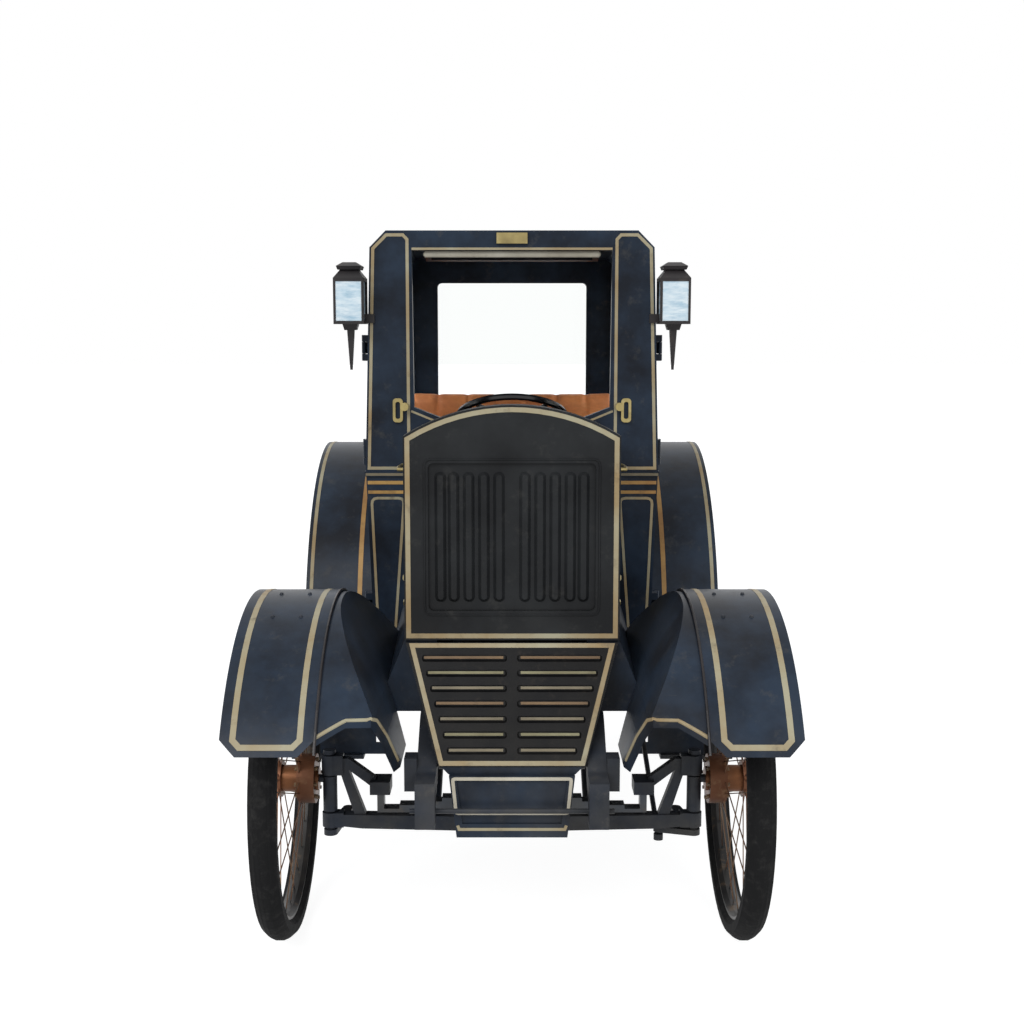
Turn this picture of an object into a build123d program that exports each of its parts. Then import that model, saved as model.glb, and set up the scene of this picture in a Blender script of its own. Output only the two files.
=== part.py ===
from build123d import *
import os
from math import cos, pi, radians, sin, sqrt, tan

# Early motor coupe with open front axle, louvred nose and carriage lamps.
# Millimetres. +Z is up, the car faces -Y, its left side is +X, and the ground is Z = 0.

# Driving dimensions
FRONT_AXLE_Y = -1041.0
WHEELBASE = 1960.0
REAR_AXLE_Y = FRONT_AXLE_Y + WHEELBASE
FRONT_RADIUS = 457.0
REAR_RADIUS = 548.0
FRONT_TRACK = 660.0
REAR_TRACK = 676.0
TYRE_WIDTH = 75.0

# Places along the car
DUMB_IRON_Y = FRONT_AXLE_Y - 411
LOCKER_Y = FRONT_AXLE_Y - 340
APRON_FOOT_Y = FRONT_AXLE_Y - 320
COWL_Y = FRONT_AXLE_Y - 137
BONNET_FRONT_Y = COWL_Y + 64
BONNET_REAR_Y = FRONT_AXLE_Y + 663
CAB_FRONT_Y = FRONT_AXLE_Y + 823
CAB_REAR_Y = FRONT_AXLE_Y + 2331
FRAME_REAR_Y = FRONT_AXLE_Y + 2290

# Chassis frame
RAIL_INNER = 205.0
RAIL_WIDTH = 53.0
RAIL_OUTER = RAIL_INNER + RAIL_WIDTH
RAIL_TOP = 694.0
RAIL_DEPTH = 62.0
RAIL_WALL = 8.0
RAIL_BOTTOM = RAIL_TOP - RAIL_DEPTH

# Nose
COWL_HALF = 301.0
COWL_FOOT = 902.0
COWL_CORNER = 1474.0
COWL_CREST = 1560.0
COWL_DEPTH = 60.0
PANEL_HALF = 233.0
PANEL_LOW = 985.0
PANEL_HIGH = 1400.0

# Cab section: half widths at their heights
CAB_FOOT = (478.0, 615.0)
CAB_BELT = (503.0, 1298.0)
CAB_EAVE = (481.0, 2038.0)
CAB_ROOF = (426.0, 2094.0)
WALL = 30.0
BEAD_Z = 1269.0
BEAD_PROUD = 8.0
ROOF_SHEET = 28.0
FLOOR_TOP = RAIL_TOP + 20

# Doors and windows
DOOR_FRONT_Y = FRONT_AXLE_Y + 920
DOOR_REAR_Y = FRONT_AXLE_Y + 1440
DOOR_FOOT = 700.0
DOOR_HEAD = 1985.0
DOOR_GAP = 6.0
HINGE_X = 512.0
HINGE_Y = FRONT_AXLE_Y + 912
WINDOW_FOOT = 1440.0
WINDOW_HEAD = 1950.0
GLASS = 6.0

# Fenders: arcs seen from the side
FENDER_SHEET = 14.0
FRONT_ARC = (FRONT_AXLE_Y - 30, 375.0, 641.0)
FRONT_FENDER_INNER = 498.0
FRONT_FENDER_OUTER = 740.0
FRONT_FENDER_TIP = 701.0
REAR_ARC = (FRONT_AXLE_Y + 1970, 485.0, 800.0)
REAR_FENDER_OUTER = 777.0
REAR_FENDER_TIP = 885.0
BOARD_TOP = 347.0
BOARD_SHEET = 14.0
BOARD_MAT = 4.0

# Front axle and steering
KINGPIN_X = 535.0
KINGPIN_R = 12.0
SPINDLE_R = 12.0
RUNNING_GAP = 0.05
TIE_ARM = (-30.0, 190.0)
DRAG_ARM = (-100.0, 25.0)
ARM_TOP = 304.0
ARM_SHEET = 17.0
TIE_ROD_Z = 260.0
LINK_FRONT_Z = 270.0
LINK_REAR_Z = 515.0
DROP_ARM_Y = FRONT_AXLE_Y + 905
DROP_ARM_Z = 655.0
DROP_ARM_X = 396.0

# Steering wheel
STEER_Y = FRONT_AXLE_Y + 1280
STEER_Z = 1430.0
STEER_TILT = 27.0
STEER_RIM = 201.0
STEER_GRIP = 13.0


def across(y):
    """Plane that crosses the car at y: local x is X, local y is Z, and it faces forward."""
    return Plane(origin=(0, y, 0), x_dir=(1, 0, 0), z_dir=(0, -1, 0))


def along(x):
    """Plane along the car at x: local x is Y, local y is Z, and it faces +X."""
    return Plane(origin=(x, 0, 0), x_dir=(0, 1, 0), z_dir=(1, 0, 0))


def arch_height(x, half, corner, crest):
    """Height of a segmental arch with its ends at (half, corner) and its crown at crest."""
    rise = crest - corner
    radius = (half**2 + rise**2) / (2 * rise)
    return crest - radius + sqrt(radius**2 - x**2)


def arc_reach(arc, z):
    """Half length of a fender arc (centre y, centre z, radius) at the height z."""
    return sqrt(arc[2] ** 2 - (z - arc[1]) ** 2)


# Chassis frame: channel rails that drop into horns at the front, with cross members between
CROSS_MEMBERS = (640.0, 1240.0, 1660.0, 2262.0)
with BuildPart() as chassis_frame:
    for side in (1, -1):
        inner = RAIL_INNER if side > 0 else -RAIL_OUTER
        with BuildSketch(along(inner)):
            with BuildLine():
                FilletPolyline(
                    (FRAME_REAR_Y, RAIL_TOP),
                    (COWL_Y - 13, RAIL_TOP),
                    (FRONT_AXLE_Y - 325, 578),
                    (DUMB_IRON_Y, 574),
                    (DUMB_IRON_Y, 449),
                    (DUMB_IRON_Y + 52, 449),
                    (DUMB_IRON_Y + 60, 512),
                    (FRONT_AXLE_Y - 300, 516),
                    (COWL_Y + 7, RAIL_BOTTOM),
                    (FRAME_REAR_Y, RAIL_BOTTOM),
                    radius=[120, 36, 1, 1, 1, 20, 60, 120],
                )
                Line((FRAME_REAR_Y, RAIL_BOTTOM), (FRAME_REAR_Y, RAIL_TOP))
            make_face()
        extrude(amount=RAIL_WIDTH)
        pocket_x = side * (RAIL_INNER + (RAIL_WIDTH - RAIL_WALL) / 2)
        pocket_length = FRAME_REAR_Y - COWL_Y - 60
        with Locations((pocket_x, COWL_Y + 30 + pocket_length / 2, RAIL_TOP - RAIL_DEPTH / 2)):
            Box(RAIL_WIDTH - RAIL_WALL, pocket_length, RAIL_DEPTH - 2 * RAIL_WALL, mode=Mode.SUBTRACT)
        with Locations((side * (RAIL_INNER + RAIL_WIDTH / 2), DUMB_IRON_Y + 26, 449 + 20)):
            Box(30, 30, 41, mode=Mode.SUBTRACT)
        with Locations((side * (RAIL_OUTER + 17), FRONT_AXLE_Y - 290, 570)):
            Box(34, 60, 92)
    for place in CROSS_MEMBERS:
        with Locations((0, FRONT_AXLE_Y + place, RAIL_TOP - RAIL_DEPTH / 2)):
            Box(2 * (RAIL_OUTER - RAIL_WALL), 44, RAIL_DEPTH)
    with BuildSketch(across(FRONT_AXLE_Y + 30)):
        Polygon(
            (-250, RAIL_TOP), (-250, RAIL_BOTTOM), (-205, RAIL_BOTTOM - 10), (-92, 424),
            (92, 424), (205, RAIL_BOTTOM - 10), (250, RAIL_BOTTOM), (250, RAIL_TOP),
            align=None,
        )
    extrude(amount=60)
    with Locations(Plane(origin=(0, DUMB_IRON_Y + 46, 485), z_dir=(1, 0, 0))):
        Cylinder(7, 550)
    with Locations(Plane(origin=(0, DROP_ARM_Y, DROP_ARM_Z), z_dir=(1, 0, 0))):
        Cylinder(13.5, 2 * RAIL_OUTER + 10, mode=Mode.SUBTRACT)

# Nose apron: sloping sheet with two columns of louvres
APRON_TOP = (298.0, 895.0)
APRON_FOOT = (198.0, 590.0)
APRON_SLOPE = Vector(0, APRON_FOOT_Y - COWL_Y, APRON_FOOT[1] - APRON_TOP[1])
APRON_LENGTH = APRON_SLOPE.length
apron_plane = Plane(origin=(0, COWL_Y, APRON_TOP[1]), x_dir=(1, 0, 0), z_dir=(0, APRON_SLOPE.Z, -APRON_SLOPE.Y))
APRON_LOUVRES = 7
with BuildPart() as nose_apron:
    with BuildSketch(apron_plane):
        Polygon(
            (-APRON_TOP[0], 0), (-APRON_FOOT[0], -APRON_LENGTH), (APRON_FOOT[0], -APRON_LENGTH), (APRON_TOP[0], 0),
            align=None,
        )
    extrude(amount=-12)
    for row in range(APRON_LOUVRES):
        drop = 0.13 + 0.123 * row
        reach = APRON_TOP[0] + (APRON_FOOT[0] - APRON_TOP[0]) * drop - 34
        for side in (1, -1):
            centre = side * (14 + reach) / 2
            with BuildSketch(apron_plane):
                with Locations((centre, -APRON_LENGTH * drop)):
                    RectangleRounded(reach - 14, 20, 8)
            extrude(amount=7, taper=32)
    add(chassis_frame.part, mode=Mode.SUBTRACT)

# Locker between the horns, with the seat of the apron on top of it
with BuildPart() as front_locker:
    with BuildSketch(across(FRONT_AXLE_Y - 130)):
        Polygon((-170, 573), (-150, 402), (150, 402), (170, 573), align=None)
    extrude(amount=FRONT_AXLE_Y - 130 - LOCKER_Y)
    with BuildSketch(across(LOCKER_Y)):
        Polygon((-150, 560), (-134, 440), (134, 440), (150, 560), align=None)
    extrude(amount=-6, mode=Mode.SUBTRACT)
    with BuildSketch(Plane.XY.offset(573)):
        with Locations((0, FRONT_AXLE_Y - 235)):
            Rectangle(2 * RAIL_INNER, 40)
    extrude(amount=40)
    with BuildSketch(across(FRONT_AXLE_Y - 250)):
        Polygon((-190, 592), (-172, 573), (172, 573), (190, 592), align=None)
    extrude(amount=72)
    add(nose_apron.part, mode=Mode.SUBTRACT)

# Radiator cowl: pressed shell with a recessed panel of upright louvres
LOUVRE_X = (36.0, 78.0, 120.0, 162.0, 199.0)
with BuildPart() as radiator_cowl:
    with BuildSketch(across(COWL_Y + COWL_DEPTH)):
        with BuildLine():
            Polyline(
                (COWL_HALF, COWL_CORNER), (COWL_HALF, COWL_FOOT), (-COWL_HALF, COWL_FOOT), (-COWL_HALF, COWL_CORNER)
            )
            ThreePointArc((-COWL_HALF, COWL_CORNER), (0, COWL_CREST), (COWL_HALF, COWL_CORNER))
        make_face()
    extrude(amount=COWL_DEPTH)
    with BuildSketch(across(COWL_Y + COWL_DEPTH)):
        with BuildLine():
            Polyline(
                (COWL_HALF - 16, COWL_CORNER - 12), (COWL_HALF - 16, COWL_FOOT + 16),
                (16 - COWL_HALF, COWL_FOOT + 16), (16 - COWL_HALF, COWL_CORNER - 12),
            )
            ThreePointArc(
                (16 - COWL_HALF, COWL_CORNER - 12), (0, COWL_CREST - 16), (COWL_HALF - 16, COWL_CORNER - 12)
            )
        make_face()
    extrude(amount=COWL_DEPTH - 22, mode=Mode.SUBTRACT)
    with BuildSketch(across(COWL_Y)):
        with Locations((0, (PANEL_LOW + PANEL_HIGH) / 2)):
            RectangleRounded(2 * PANEL_HALF, PANEL_HIGH - PANEL_LOW, 16)
    extrude(amount=-10, mode=Mode.SUBTRACT)
    for place in LOUVRE_X:
        for side in (1, -1):
            with BuildSketch(across(COWL_Y + 10)):
                with Locations((side * place, 1192)):
                    RectangleRounded(32, 366, 15)
            extrude(amount=10, taper=40)


def bonnet_section(y, half, corner, crest, foot, sheet, gap):
    """Half of an arched hood section, from the hinge gap to the foot, at y."""
    with BuildSketch(across(y)) as outline:
        with BuildLine():
            outer_start = (gap, arch_height(gap, half, corner, crest))
            inner_start = (gap, arch_height(gap, half - sheet, corner - sheet, crest - sheet))
            mid = half / 2
            ThreePointArc(outer_start, (mid, arch_height(mid, half, corner, crest)), (half, corner))
            Polyline((half, corner), (half, foot), (half - sheet, foot), (half - sheet, corner - sheet))
            ThreePointArc(
                (half - sheet, corner - sheet),
                (mid, arch_height(mid, half - sheet, corner - sheet, crest - sheet)),
                inner_start,
            )
            Line(inner_start, outer_start)
        make_face()
    return outline.sketch


def section(y, *points):
    """Polygon across the car at y."""
    with BuildSketch(across(y)) as outline:
        Polygon(*points, align=None)
    return outline.sketch


# Bonnet: two lids hinged on a rod along the crest
BONNET_SHEET = 10.0
BONNET_FRONT = (286.0, 1460.0, 1543.0)
BONNET_REAR = (345.0, 1400.0, 1482.0)
HINGE_DROP = 4.0
with BuildPart() as bonnet_left:
    lid_front = bonnet_section(BONNET_FRONT_Y, *BONNET_FRONT, COWL_FOOT + 2, BONNET_SHEET, 8)
    lid_rear = bonnet_section(BONNET_REAR_Y, *BONNET_REAR, COWL_FOOT + 2, BONNET_SHEET, 8)
    loft([lid_front, lid_rear], ruled=True)
with BuildPart() as bonnet_right:
    mirror(bonnet_left.part, about=Plane.YZ)

ROD_FRONT = Vector(0, BONNET_FRONT_Y - 5, BONNET_FRONT[2] - HINGE_DROP)
ROD_REAR = Vector(0, BONNET_REAR_Y + 4.5, BONNET_REAR[2] - HINGE_DROP)
with BuildPart() as bonnet_hinge:
    rod_run = ROD_REAR - ROD_FRONT
    with BuildSketch(Plane(origin=ROD_FRONT, z_dir=rod_run)):
        Circle(5)
    extrude(amount=rod_run.length)

# Scuttle between the bonnet and the cab
SCUTTLE_REAR = (352.0, 1404.0, 1484.0)
with BuildPart() as scuttle:
    scuttle_front = bonnet_section(BONNET_REAR_Y + 5, *BONNET_REAR, COWL_FOOT + 2, BONNET_SHEET, 0)
    scuttle_back = bonnet_section(CAB_FRONT_Y, *SCUTTLE_REAR, COWL_FOOT + 2, BONNET_SHEET, 0)
    loft([scuttle_front, scuttle_back], ruled=True)
    mirror(about=Plane.YZ)

# Valances: sloping sheets under the bonnet, with a closing plate at the front
VALANCE_TOP = 902.0
with BuildPart() as valances:
    valance_front = section(COWL_Y + 12, (301, VALANCE_TOP), (385, RAIL_TOP), (373, RAIL_TOP), (289, VALANCE_TOP))
    valance_rear = section(CAB_FRONT_Y, (354, VALANCE_TOP), (410, RAIL_TOP), (398, RAIL_TOP), (342, VALANCE_TOP))
    loft([valance_front, valance_rear], ruled=True)
    with BuildSketch(across(COWL_Y + 24)):
        Polygon((212, RAIL_TOP), (380, RAIL_TOP), (298, VALANCE_TOP), (212, VALANCE_TOP), align=None)
    extrude(amount=12)
    mirror(about=Plane.YZ)

# Engine and gearbox: one plain block carried on the rails
with BuildPart() as engine_block:
    with BuildSketch(across(FRONT_AXLE_Y + 520)):
        Polygon((-150, 1230), (-150, 640), (-100, 540), (100, 540), (150, 640), (150, 1230), align=None)
    extrude(amount=440)
    with Locations((0, FRONT_AXLE_Y + 300, RAIL_BOTTOM + RAIL_WALL + 10)):
        Box(500, 60, 20)
    with Locations((0, FRONT_AXLE_Y + 660, 562)):
        Box(190, 280, 126)

# Front axle: dropped beam between forked ends, with struts, perches and radius rods
BEAM_TOP = 352.0
BEAM_END = 310.0
BEAM_DIP = 300.0
LOWER_BOSS = (313.0, 356.0)
UPPER_BOSS = (471.0, 529.0)
BOSS_R = 24.0
with BuildPart() as front_axle:
    with BuildSketch(across(FRONT_AXLE_Y + 20)):
        Polygon(
            (-515, BEAM_TOP), (-515, 318), (-440, BEAM_END), (0, BEAM_DIP), (440, BEAM_END), (515, 318),
            (515, BEAM_TOP), (0, BEAM_TOP - 8),
            align=None,
        )
    extrude(amount=40)
    with BuildSketch(across(FRONT_AXLE_Y + 14)):
        # strut from the upper boss down to the beam, then the perch arm and its cube
        Polygon((488, 512), (514, 512), (462, BEAM_TOP - 4), (428, BEAM_TOP - 4), align=None)
        Polygon((520, 520), (478, 520), (400, 462), (400, 426), (478, 486), (520, 486), align=None)
    extrude(amount=28)
    with Locations((385, FRONT_AXLE_Y, 438)):
        Box(59, 82, 38)
    for low, high in (LOWER_BOSS, UPPER_BOSS):
        with Locations((KINGPIN_X, FRONT_AXLE_Y, (low + high) / 2)):
            Cylinder(BOSS_R, high - low)
        with Locations((KINGPIN_X - 20, FRONT_AXLE_Y, (low + high) / 2)):
            Box(40, 40, high - low)
    with Locations((KINGPIN_X, FRONT_AXLE_Y, 420)):
        Cylinder(KINGPIN_R + RUNNING_GAP, 300, mode=Mode.SUBTRACT)
    rod_start = Vector(225, FRONT_AXLE_Y + 15, 330)
    rod_end = Vector(225, FRONT_AXLE_Y + 640, RAIL_BOTTOM)
    with BuildSketch(Plane(origin=rod_start, z_dir=rod_end - rod_start)):
        Circle(13)
    extrude(amount=(rod_end - rod_start).length + 6)
    split(bisect_by=Plane.YZ, keep=Keep.TOP)
    mirror(about=Plane.YZ)
    add(chassis_frame.part, mode=Mode.SUBTRACT)

# Leaf springs: one across the front, hung from the perches, and one along each side at the rear
FRONT_LEAVES = (384.0, 330.0, 270.0, 205.0, 140.0)
LEAF = 11.0
SPRING_FOOT = 360.0
REAR_LEAVES = (325.0, 265.0, 205.0, 145.0)
REAR_LEAF = 10.0
REAR_SPRING_FOOT = 576.0
LEAF_RISE = 0.05
with BuildPart() as leaf_springs:
    for layer, half in enumerate(FRONT_LEAVES):
        with Locations((0, FRONT_AXLE_Y, SPRING_FOOT + LEAF * (layer + 0.5))):
            Box(2 * half, 44, LEAF)
    with Locations((0, FRONT_AXLE_Y, 417)):
        Box(150, 54, 14)
    for side in (1, -1):
        with Locations((side * 385, FRONT_AXLE_Y, (SPRING_FOOT + 419) / 2)):
            Box(20, 44, 419 - SPRING_FOOT)
    for side in (1, -1):
        inner = RAIL_INNER + 4 if side > 0 else -RAIL_OUTER + 4
        for layer, half in enumerate(reversed(REAR_LEAVES)):
            foot = REAR_SPRING_FOOT + REAR_LEAF * layer
            rise = LEAF_RISE * (half - 100)
            with BuildSketch(along(inner)):
                Polygon(
                    (REAR_AXLE_Y - half, foot + rise), (REAR_AXLE_Y - 100, foot), (REAR_AXLE_Y + 100, foot),
                    (REAR_AXLE_Y + half, foot + rise), (REAR_AXLE_Y + half, foot + REAR_LEAF + rise),
                    (REAR_AXLE_Y + 100, foot + REAR_LEAF), (REAR_AXLE_Y - 100, foot + REAR_LEAF),
                    (REAR_AXLE_Y - half, foot + REAR_LEAF + rise),
                    align=None,
                )
            extrude(amount=RAIL_WIDTH - 8)
        for end in (1, -1):
            with Locations((side * (RAIL_INNER + RAIL_WIDTH / 2), REAR_AXLE_Y + end * 312, RAIL_BOTTOM - 7)):
                Box(RAIL_WIDTH - 8, 26, 14)

# Rear axle: tubes, drive housing and the torque tube to the gearbox
REAR_TUBE_R = 27.0
with BuildPart() as rear_axle:
    with BuildSketch(across(REAR_AXLE_Y)):
        with BuildLine():
            Polyline((0, REAR_RADIUS + 105), (0, REAR_RADIUS), (700, REAR_RADIUS), (700, REAR_RADIUS + SPINDLE_R))
            Polyline(
                (700, REAR_RADIUS + SPINDLE_R), (584, REAR_RADIUS + SPINDLE_R), (584, REAR_RADIUS + REAR_TUBE_R),
                (110, REAR_RADIUS + REAR_TUBE_R), (45, REAR_RADIUS + 92),
            )
            Line((45, REAR_RADIUS + 92), (0, REAR_RADIUS + 105))
        make_face()
    revolve(axis=Axis((0, REAR_AXLE_Y, REAR_RADIUS), (1, 0, 0)))
    mirror(about=Plane.YZ)
    tube_front = FRONT_AXLE_Y + 800
    with BuildSketch(across(tube_front)):
        with Locations((0, REAR_RADIUS)):
            Circle(38)
    extrude(amount=-(REAR_AXLE_Y - tube_front))
    for side in (1, -1):
        with Locations((side * (RAIL_INNER + RAIL_WIDTH / 2), REAR_AXLE_Y, REAR_SPRING_FOOT - 8.5)):
            Box(44, 80, 17)

def cab_outline():
    """Whole outside section of the cab, without its bead."""
    half = (CAB_FOOT, CAB_BELT, CAB_EAVE, CAB_ROOF)
    points = [*half, *[(-x, z) for x, z in reversed(half)]]
    return Polygon(*points, align=None)


def wall_section(inset, sheet, low, high, bead):
    """Section of the left side wall, sheet thick and inset from the outside."""
    def skin(z, depth):
        if z <= CAB_BELT[1]:
            start, end = CAB_FOOT, CAB_BELT
        else:
            start, end = CAB_BELT, CAB_EAVE
        share = (z - start[1]) / (end[1] - start[1])
        return (start[0] + (end[0] - start[0]) * share - depth, z)

    outer = [skin(low, inset)]
    if bead:
        outer += [skin(BEAD_Z - 10, inset), (skin(BEAD_Z, 0)[0] + BEAD_PROUD, BEAD_Z - 6)]
        outer += [(skin(BEAD_Z, 0)[0] + BEAD_PROUD, BEAD_Z + 6), skin(BEAD_Z + 10, inset)]
    if low < CAB_BELT[1] < high:
        outer.append(skin(CAB_BELT[1], inset))
    outer.append(skin(high, inset))
    inner = [skin(high, inset + sheet)]
    if low < CAB_BELT[1] < high:
        inner.append(skin(CAB_BELT[1], inset + sheet))
    inner.append(skin(low, inset + sheet))
    return Polygon(*outer, *inner, align=None)


# Openings of the doors and side windows, as seen from the side
NOTCH_R = REAR_ARC[2] + 22


def door_outline(grow):
    """Outline of the door, grown by grow, with its rear lower corner cut round the fender."""
    with BuildSketch(along(400)) as outline:
        with Locations(((DOOR_FRONT_Y + DOOR_REAR_Y) / 2, (DOOR_FOOT + DOOR_HEAD) / 2)):
            Rectangle(DOOR_REAR_Y - DOOR_FRONT_Y + 2 * grow, DOOR_HEAD - DOOR_FOOT + 2 * grow)
        with Locations((REAR_ARC[0], REAR_ARC[1])):
            Circle(NOTCH_R - grow, mode=Mode.SUBTRACT)
    return outline.sketch


DOOR_WINDOW = (DOOR_FRONT_Y + 60, DOOR_REAR_Y - 60)
QUARTER_WINDOW = (DOOR_REAR_Y + 90, CAB_REAR_Y - 110)


def window_outline(window, grow=0.0):
    """Side window between two places along the car."""
    with BuildSketch(along(400)) as outline:
        with Locations(((window[0] + window[1]) / 2, (WINDOW_FOOT + WINDOW_HEAD) / 2)):
            RectangleRounded(window[1] - window[0] + 2 * grow, WINDOW_HEAD - WINDOW_FOOT + 2 * grow, 24)
    return outline.sketch


HINGE_HEIGHTS = (800.0, 1340.0, 1700.0)
KNUCKLE_R = 8.0
HINGE_PIN_R = 4.0


def hinge_strap(y_from, y_to, knuckle_from, height, low, high):
    """Strap that reaches from the wall's skin out to a hinge knuckle."""
    middle = (low + high) / 2
    with Locations(((478 + HINGE_X) / 2, (y_from + y_to) / 2, height + middle)):
        Box(HINGE_X - 478, abs(y_to - y_from), high - low)
    with Locations((HINGE_X - 2, (knuckle_from + HINGE_Y) / 2, height + middle)):
        Box(12, abs(HINGE_Y - knuckle_from), high - low)
    with Locations((HINGE_X, HINGE_Y, height + middle)):
        Cylinder(KNUCKLE_R, high - low)


# Cab sides, each with its door opening and quarter window
with BuildPart() as cab_side_left:
    with BuildSketch(across(CAB_REAR_Y - WALL)):
        wall_section(0, WALL, CAB_FOOT[1], CAB_EAVE[1], True)
    extrude(amount=CAB_REAR_Y - CAB_FRONT_Y - 2 * WALL)
    extrude(door_outline(DOOR_GAP), amount=200, mode=Mode.SUBTRACT)
    extrude(window_outline(QUARTER_WINDOW), amount=200, mode=Mode.SUBTRACT)
    for height in HINGE_HEIGHTS:
        for low, high in ((-44, -21), (21, 44)):
            hinge_strap(HINGE_Y - 46, HINGE_Y - 6, HINGE_Y - 12, height, low, high)
        with Locations((HINGE_X, HINGE_Y, height)):
            Cylinder(HINGE_PIN_R, 60)
with BuildPart() as cab_side_right:
    mirror(cab_side_left.part, about=Plane.YZ)

with BuildPart() as door_left:
    with BuildSketch(across(CAB_REAR_Y - WALL)):
        wall_section(0, WALL, CAB_FOOT[1], CAB_EAVE[1], True)
    extrude(amount=CAB_REAR_Y - CAB_FRONT_Y - 2 * WALL)
    extrude(door_outline(0), amount=200, mode=Mode.INTERSECT)
    extrude(window_outline(DOOR_WINDOW), amount=200, mode=Mode.SUBTRACT)
    for height in HINGE_HEIGHTS:
        hinge_strap(DOOR_FRONT_Y + 2, DOOR_FRONT_Y + 42, DOOR_FRONT_Y + 4, height, -20, 20)
        with Locations((HINGE_X, HINGE_Y, height)):
            Cylinder(HINGE_PIN_R + RUNNING_GAP, 60, mode=Mode.SUBTRACT)
    with Locations((505, DOOR_REAR_Y - 30, 1210)):
        Box(30, 12, 12)
    with Locations((522, DOOR_REAR_Y - 50, 1210)):
        Box(12, 70, 14)
with BuildPart() as door_right:
    mirror(door_left.part, about=Plane.YZ)

with BuildPart() as door_glass_left:
    with BuildSketch(across(CAB_REAR_Y - WALL)):
        wall_section(12, GLASS, WINDOW_FOOT - 10, WINDOW_HEAD + 10, False)
    extrude(amount=CAB_REAR_Y - CAB_FRONT_Y - 2 * WALL)
    extrude(window_outline(DOOR_WINDOW), amount=200, mode=Mode.INTERSECT)
with BuildPart() as door_glass_right:
    mirror(door_glass_left.part, about=Plane.YZ)

# Cab front: posts, header and the panel behind the bonnet
SCREEN_HALF_TOP = 339.0
SCREEN_HALF_SILL = 335.0
SCREEN_SILL = 1499.0
SCREEN_HEAD = 2028.0
with BuildPart() as cab_front:
    with BuildSketch(across(CAB_FRONT_Y + WALL)):
        cab_outline()
        with BuildLine():
            Polyline(
                (215, 1452), (SCREEN_HALF_SILL, SCREEN_SILL), (SCREEN_HALF_TOP, SCREEN_HEAD),
                (-SCREEN_HALF_TOP, SCREEN_HEAD), (-SCREEN_HALF_SILL, SCREEN_SILL), (-215, 1452),
            )
            ThreePointArc((-215, 1452), (0, 1482), (215, 1452))
        make_face(mode=Mode.SUBTRACT)
    extrude(amount=WALL)
    for side in (1, -1):
        with Locations((side * 428, CAB_FRONT_Y - BEAD_PROUD / 2, BEAD_Z)):
            Box(150, BEAD_PROUD, 14)
        with Locations((side * (RAIL_INNER + RAIL_WIDTH / 2), CAB_FRONT_Y + WALL / 2, (RAIL_TOP + 600) / 2)):
            Box(RAIL_WIDTH, WALL, RAIL_TOP - 600, mode=Mode.SUBTRACT)

# Cab rear with its window
REAR_WINDOW = (329.0, 1440.0, 1962.0)
with BuildPart() as cab_rear:
    with BuildSketch(across(CAB_REAR_Y)):
        cab_outline()
        with Locations((0, (REAR_WINDOW[1] + REAR_WINDOW[2]) / 2)):
            RectangleRounded(2 * REAR_WINDOW[0], REAR_WINDOW[2] - REAR_WINDOW[1], 20, mode=Mode.SUBTRACT)
    extrude(amount=WALL)
    with Locations((0, CAB_REAR_Y + BEAD_PROUD / 2, BEAD_Z)):
        Box(1000, BEAD_PROUD, 14)

# Roof with its chamfered eaves
with BuildPart() as cab_roof:
    with BuildSketch(across(CAB_REAR_Y - WALL)):
        Polygon(
            CAB_EAVE, CAB_ROOF, (-CAB_ROOF[0], CAB_ROOF[1]), (-CAB_EAVE[0], CAB_EAVE[1]),
            (-CAB_EAVE[0] + WALL, CAB_EAVE[1]), (-CAB_ROOF[0] + 12, CAB_ROOF[1] - ROOF_SHEET),
            (CAB_ROOF[0] - 12, CAB_ROOF[1] - ROOF_SHEET), (CAB_EAVE[0] - WALL, CAB_EAVE[1]),
            align=None,
        )
    extrude(amount=CAB_REAR_Y - CAB_FRONT_Y - 2 * WALL)

# Fixed glass: both quarter windows and the rear window
with BuildPart() as cab_glass:
    with BuildSketch(across(CAB_REAR_Y - WALL)):
        wall_section(12, GLASS, WINDOW_FOOT - 10, WINDOW_HEAD + 10, False)
    extrude(amount=CAB_REAR_Y - CAB_FRONT_Y - 2 * WALL)
    extrude(window_outline(QUARTER_WINDOW), amount=200, mode=Mode.INTERSECT)
    mirror(about=Plane.YZ)
    with BuildSketch(across(CAB_REAR_Y - 12)):
        with Locations((0, (REAR_WINDOW[1] + REAR_WINDOW[2]) / 2)):
            RectangleRounded(2 * REAR_WINDOW[0], REAR_WINDOW[2] - REAR_WINDOW[1], 20)
    extrude(amount=GLASS)

# Windscreen, folded up under the roof behind the header
FOLD_TILT = radians(12)
SCREEN_FOLD = Plane(
    origin=(0, CAB_FRONT_Y + WALL + 4, 2040), x_dir=(1, 0, 0), z_dir=(0, -sin(FOLD_TILT), -cos(FOLD_TILT))
)
with BuildPart() as windscreen_frame:
    with BuildSketch(SCREEN_FOLD):
        with Locations((0, -65)):
            Rectangle(598, 130)
            Rectangle(558, 90, mode=Mode.SUBTRACT)
    extrude(amount=16)
with BuildPart() as windscreen_glass:
    with BuildSketch(SCREEN_FOLD.offset(5)):
        with Locations((0, -65)):
            Rectangle(558, 90)
    extrude(amount=6)

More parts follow.
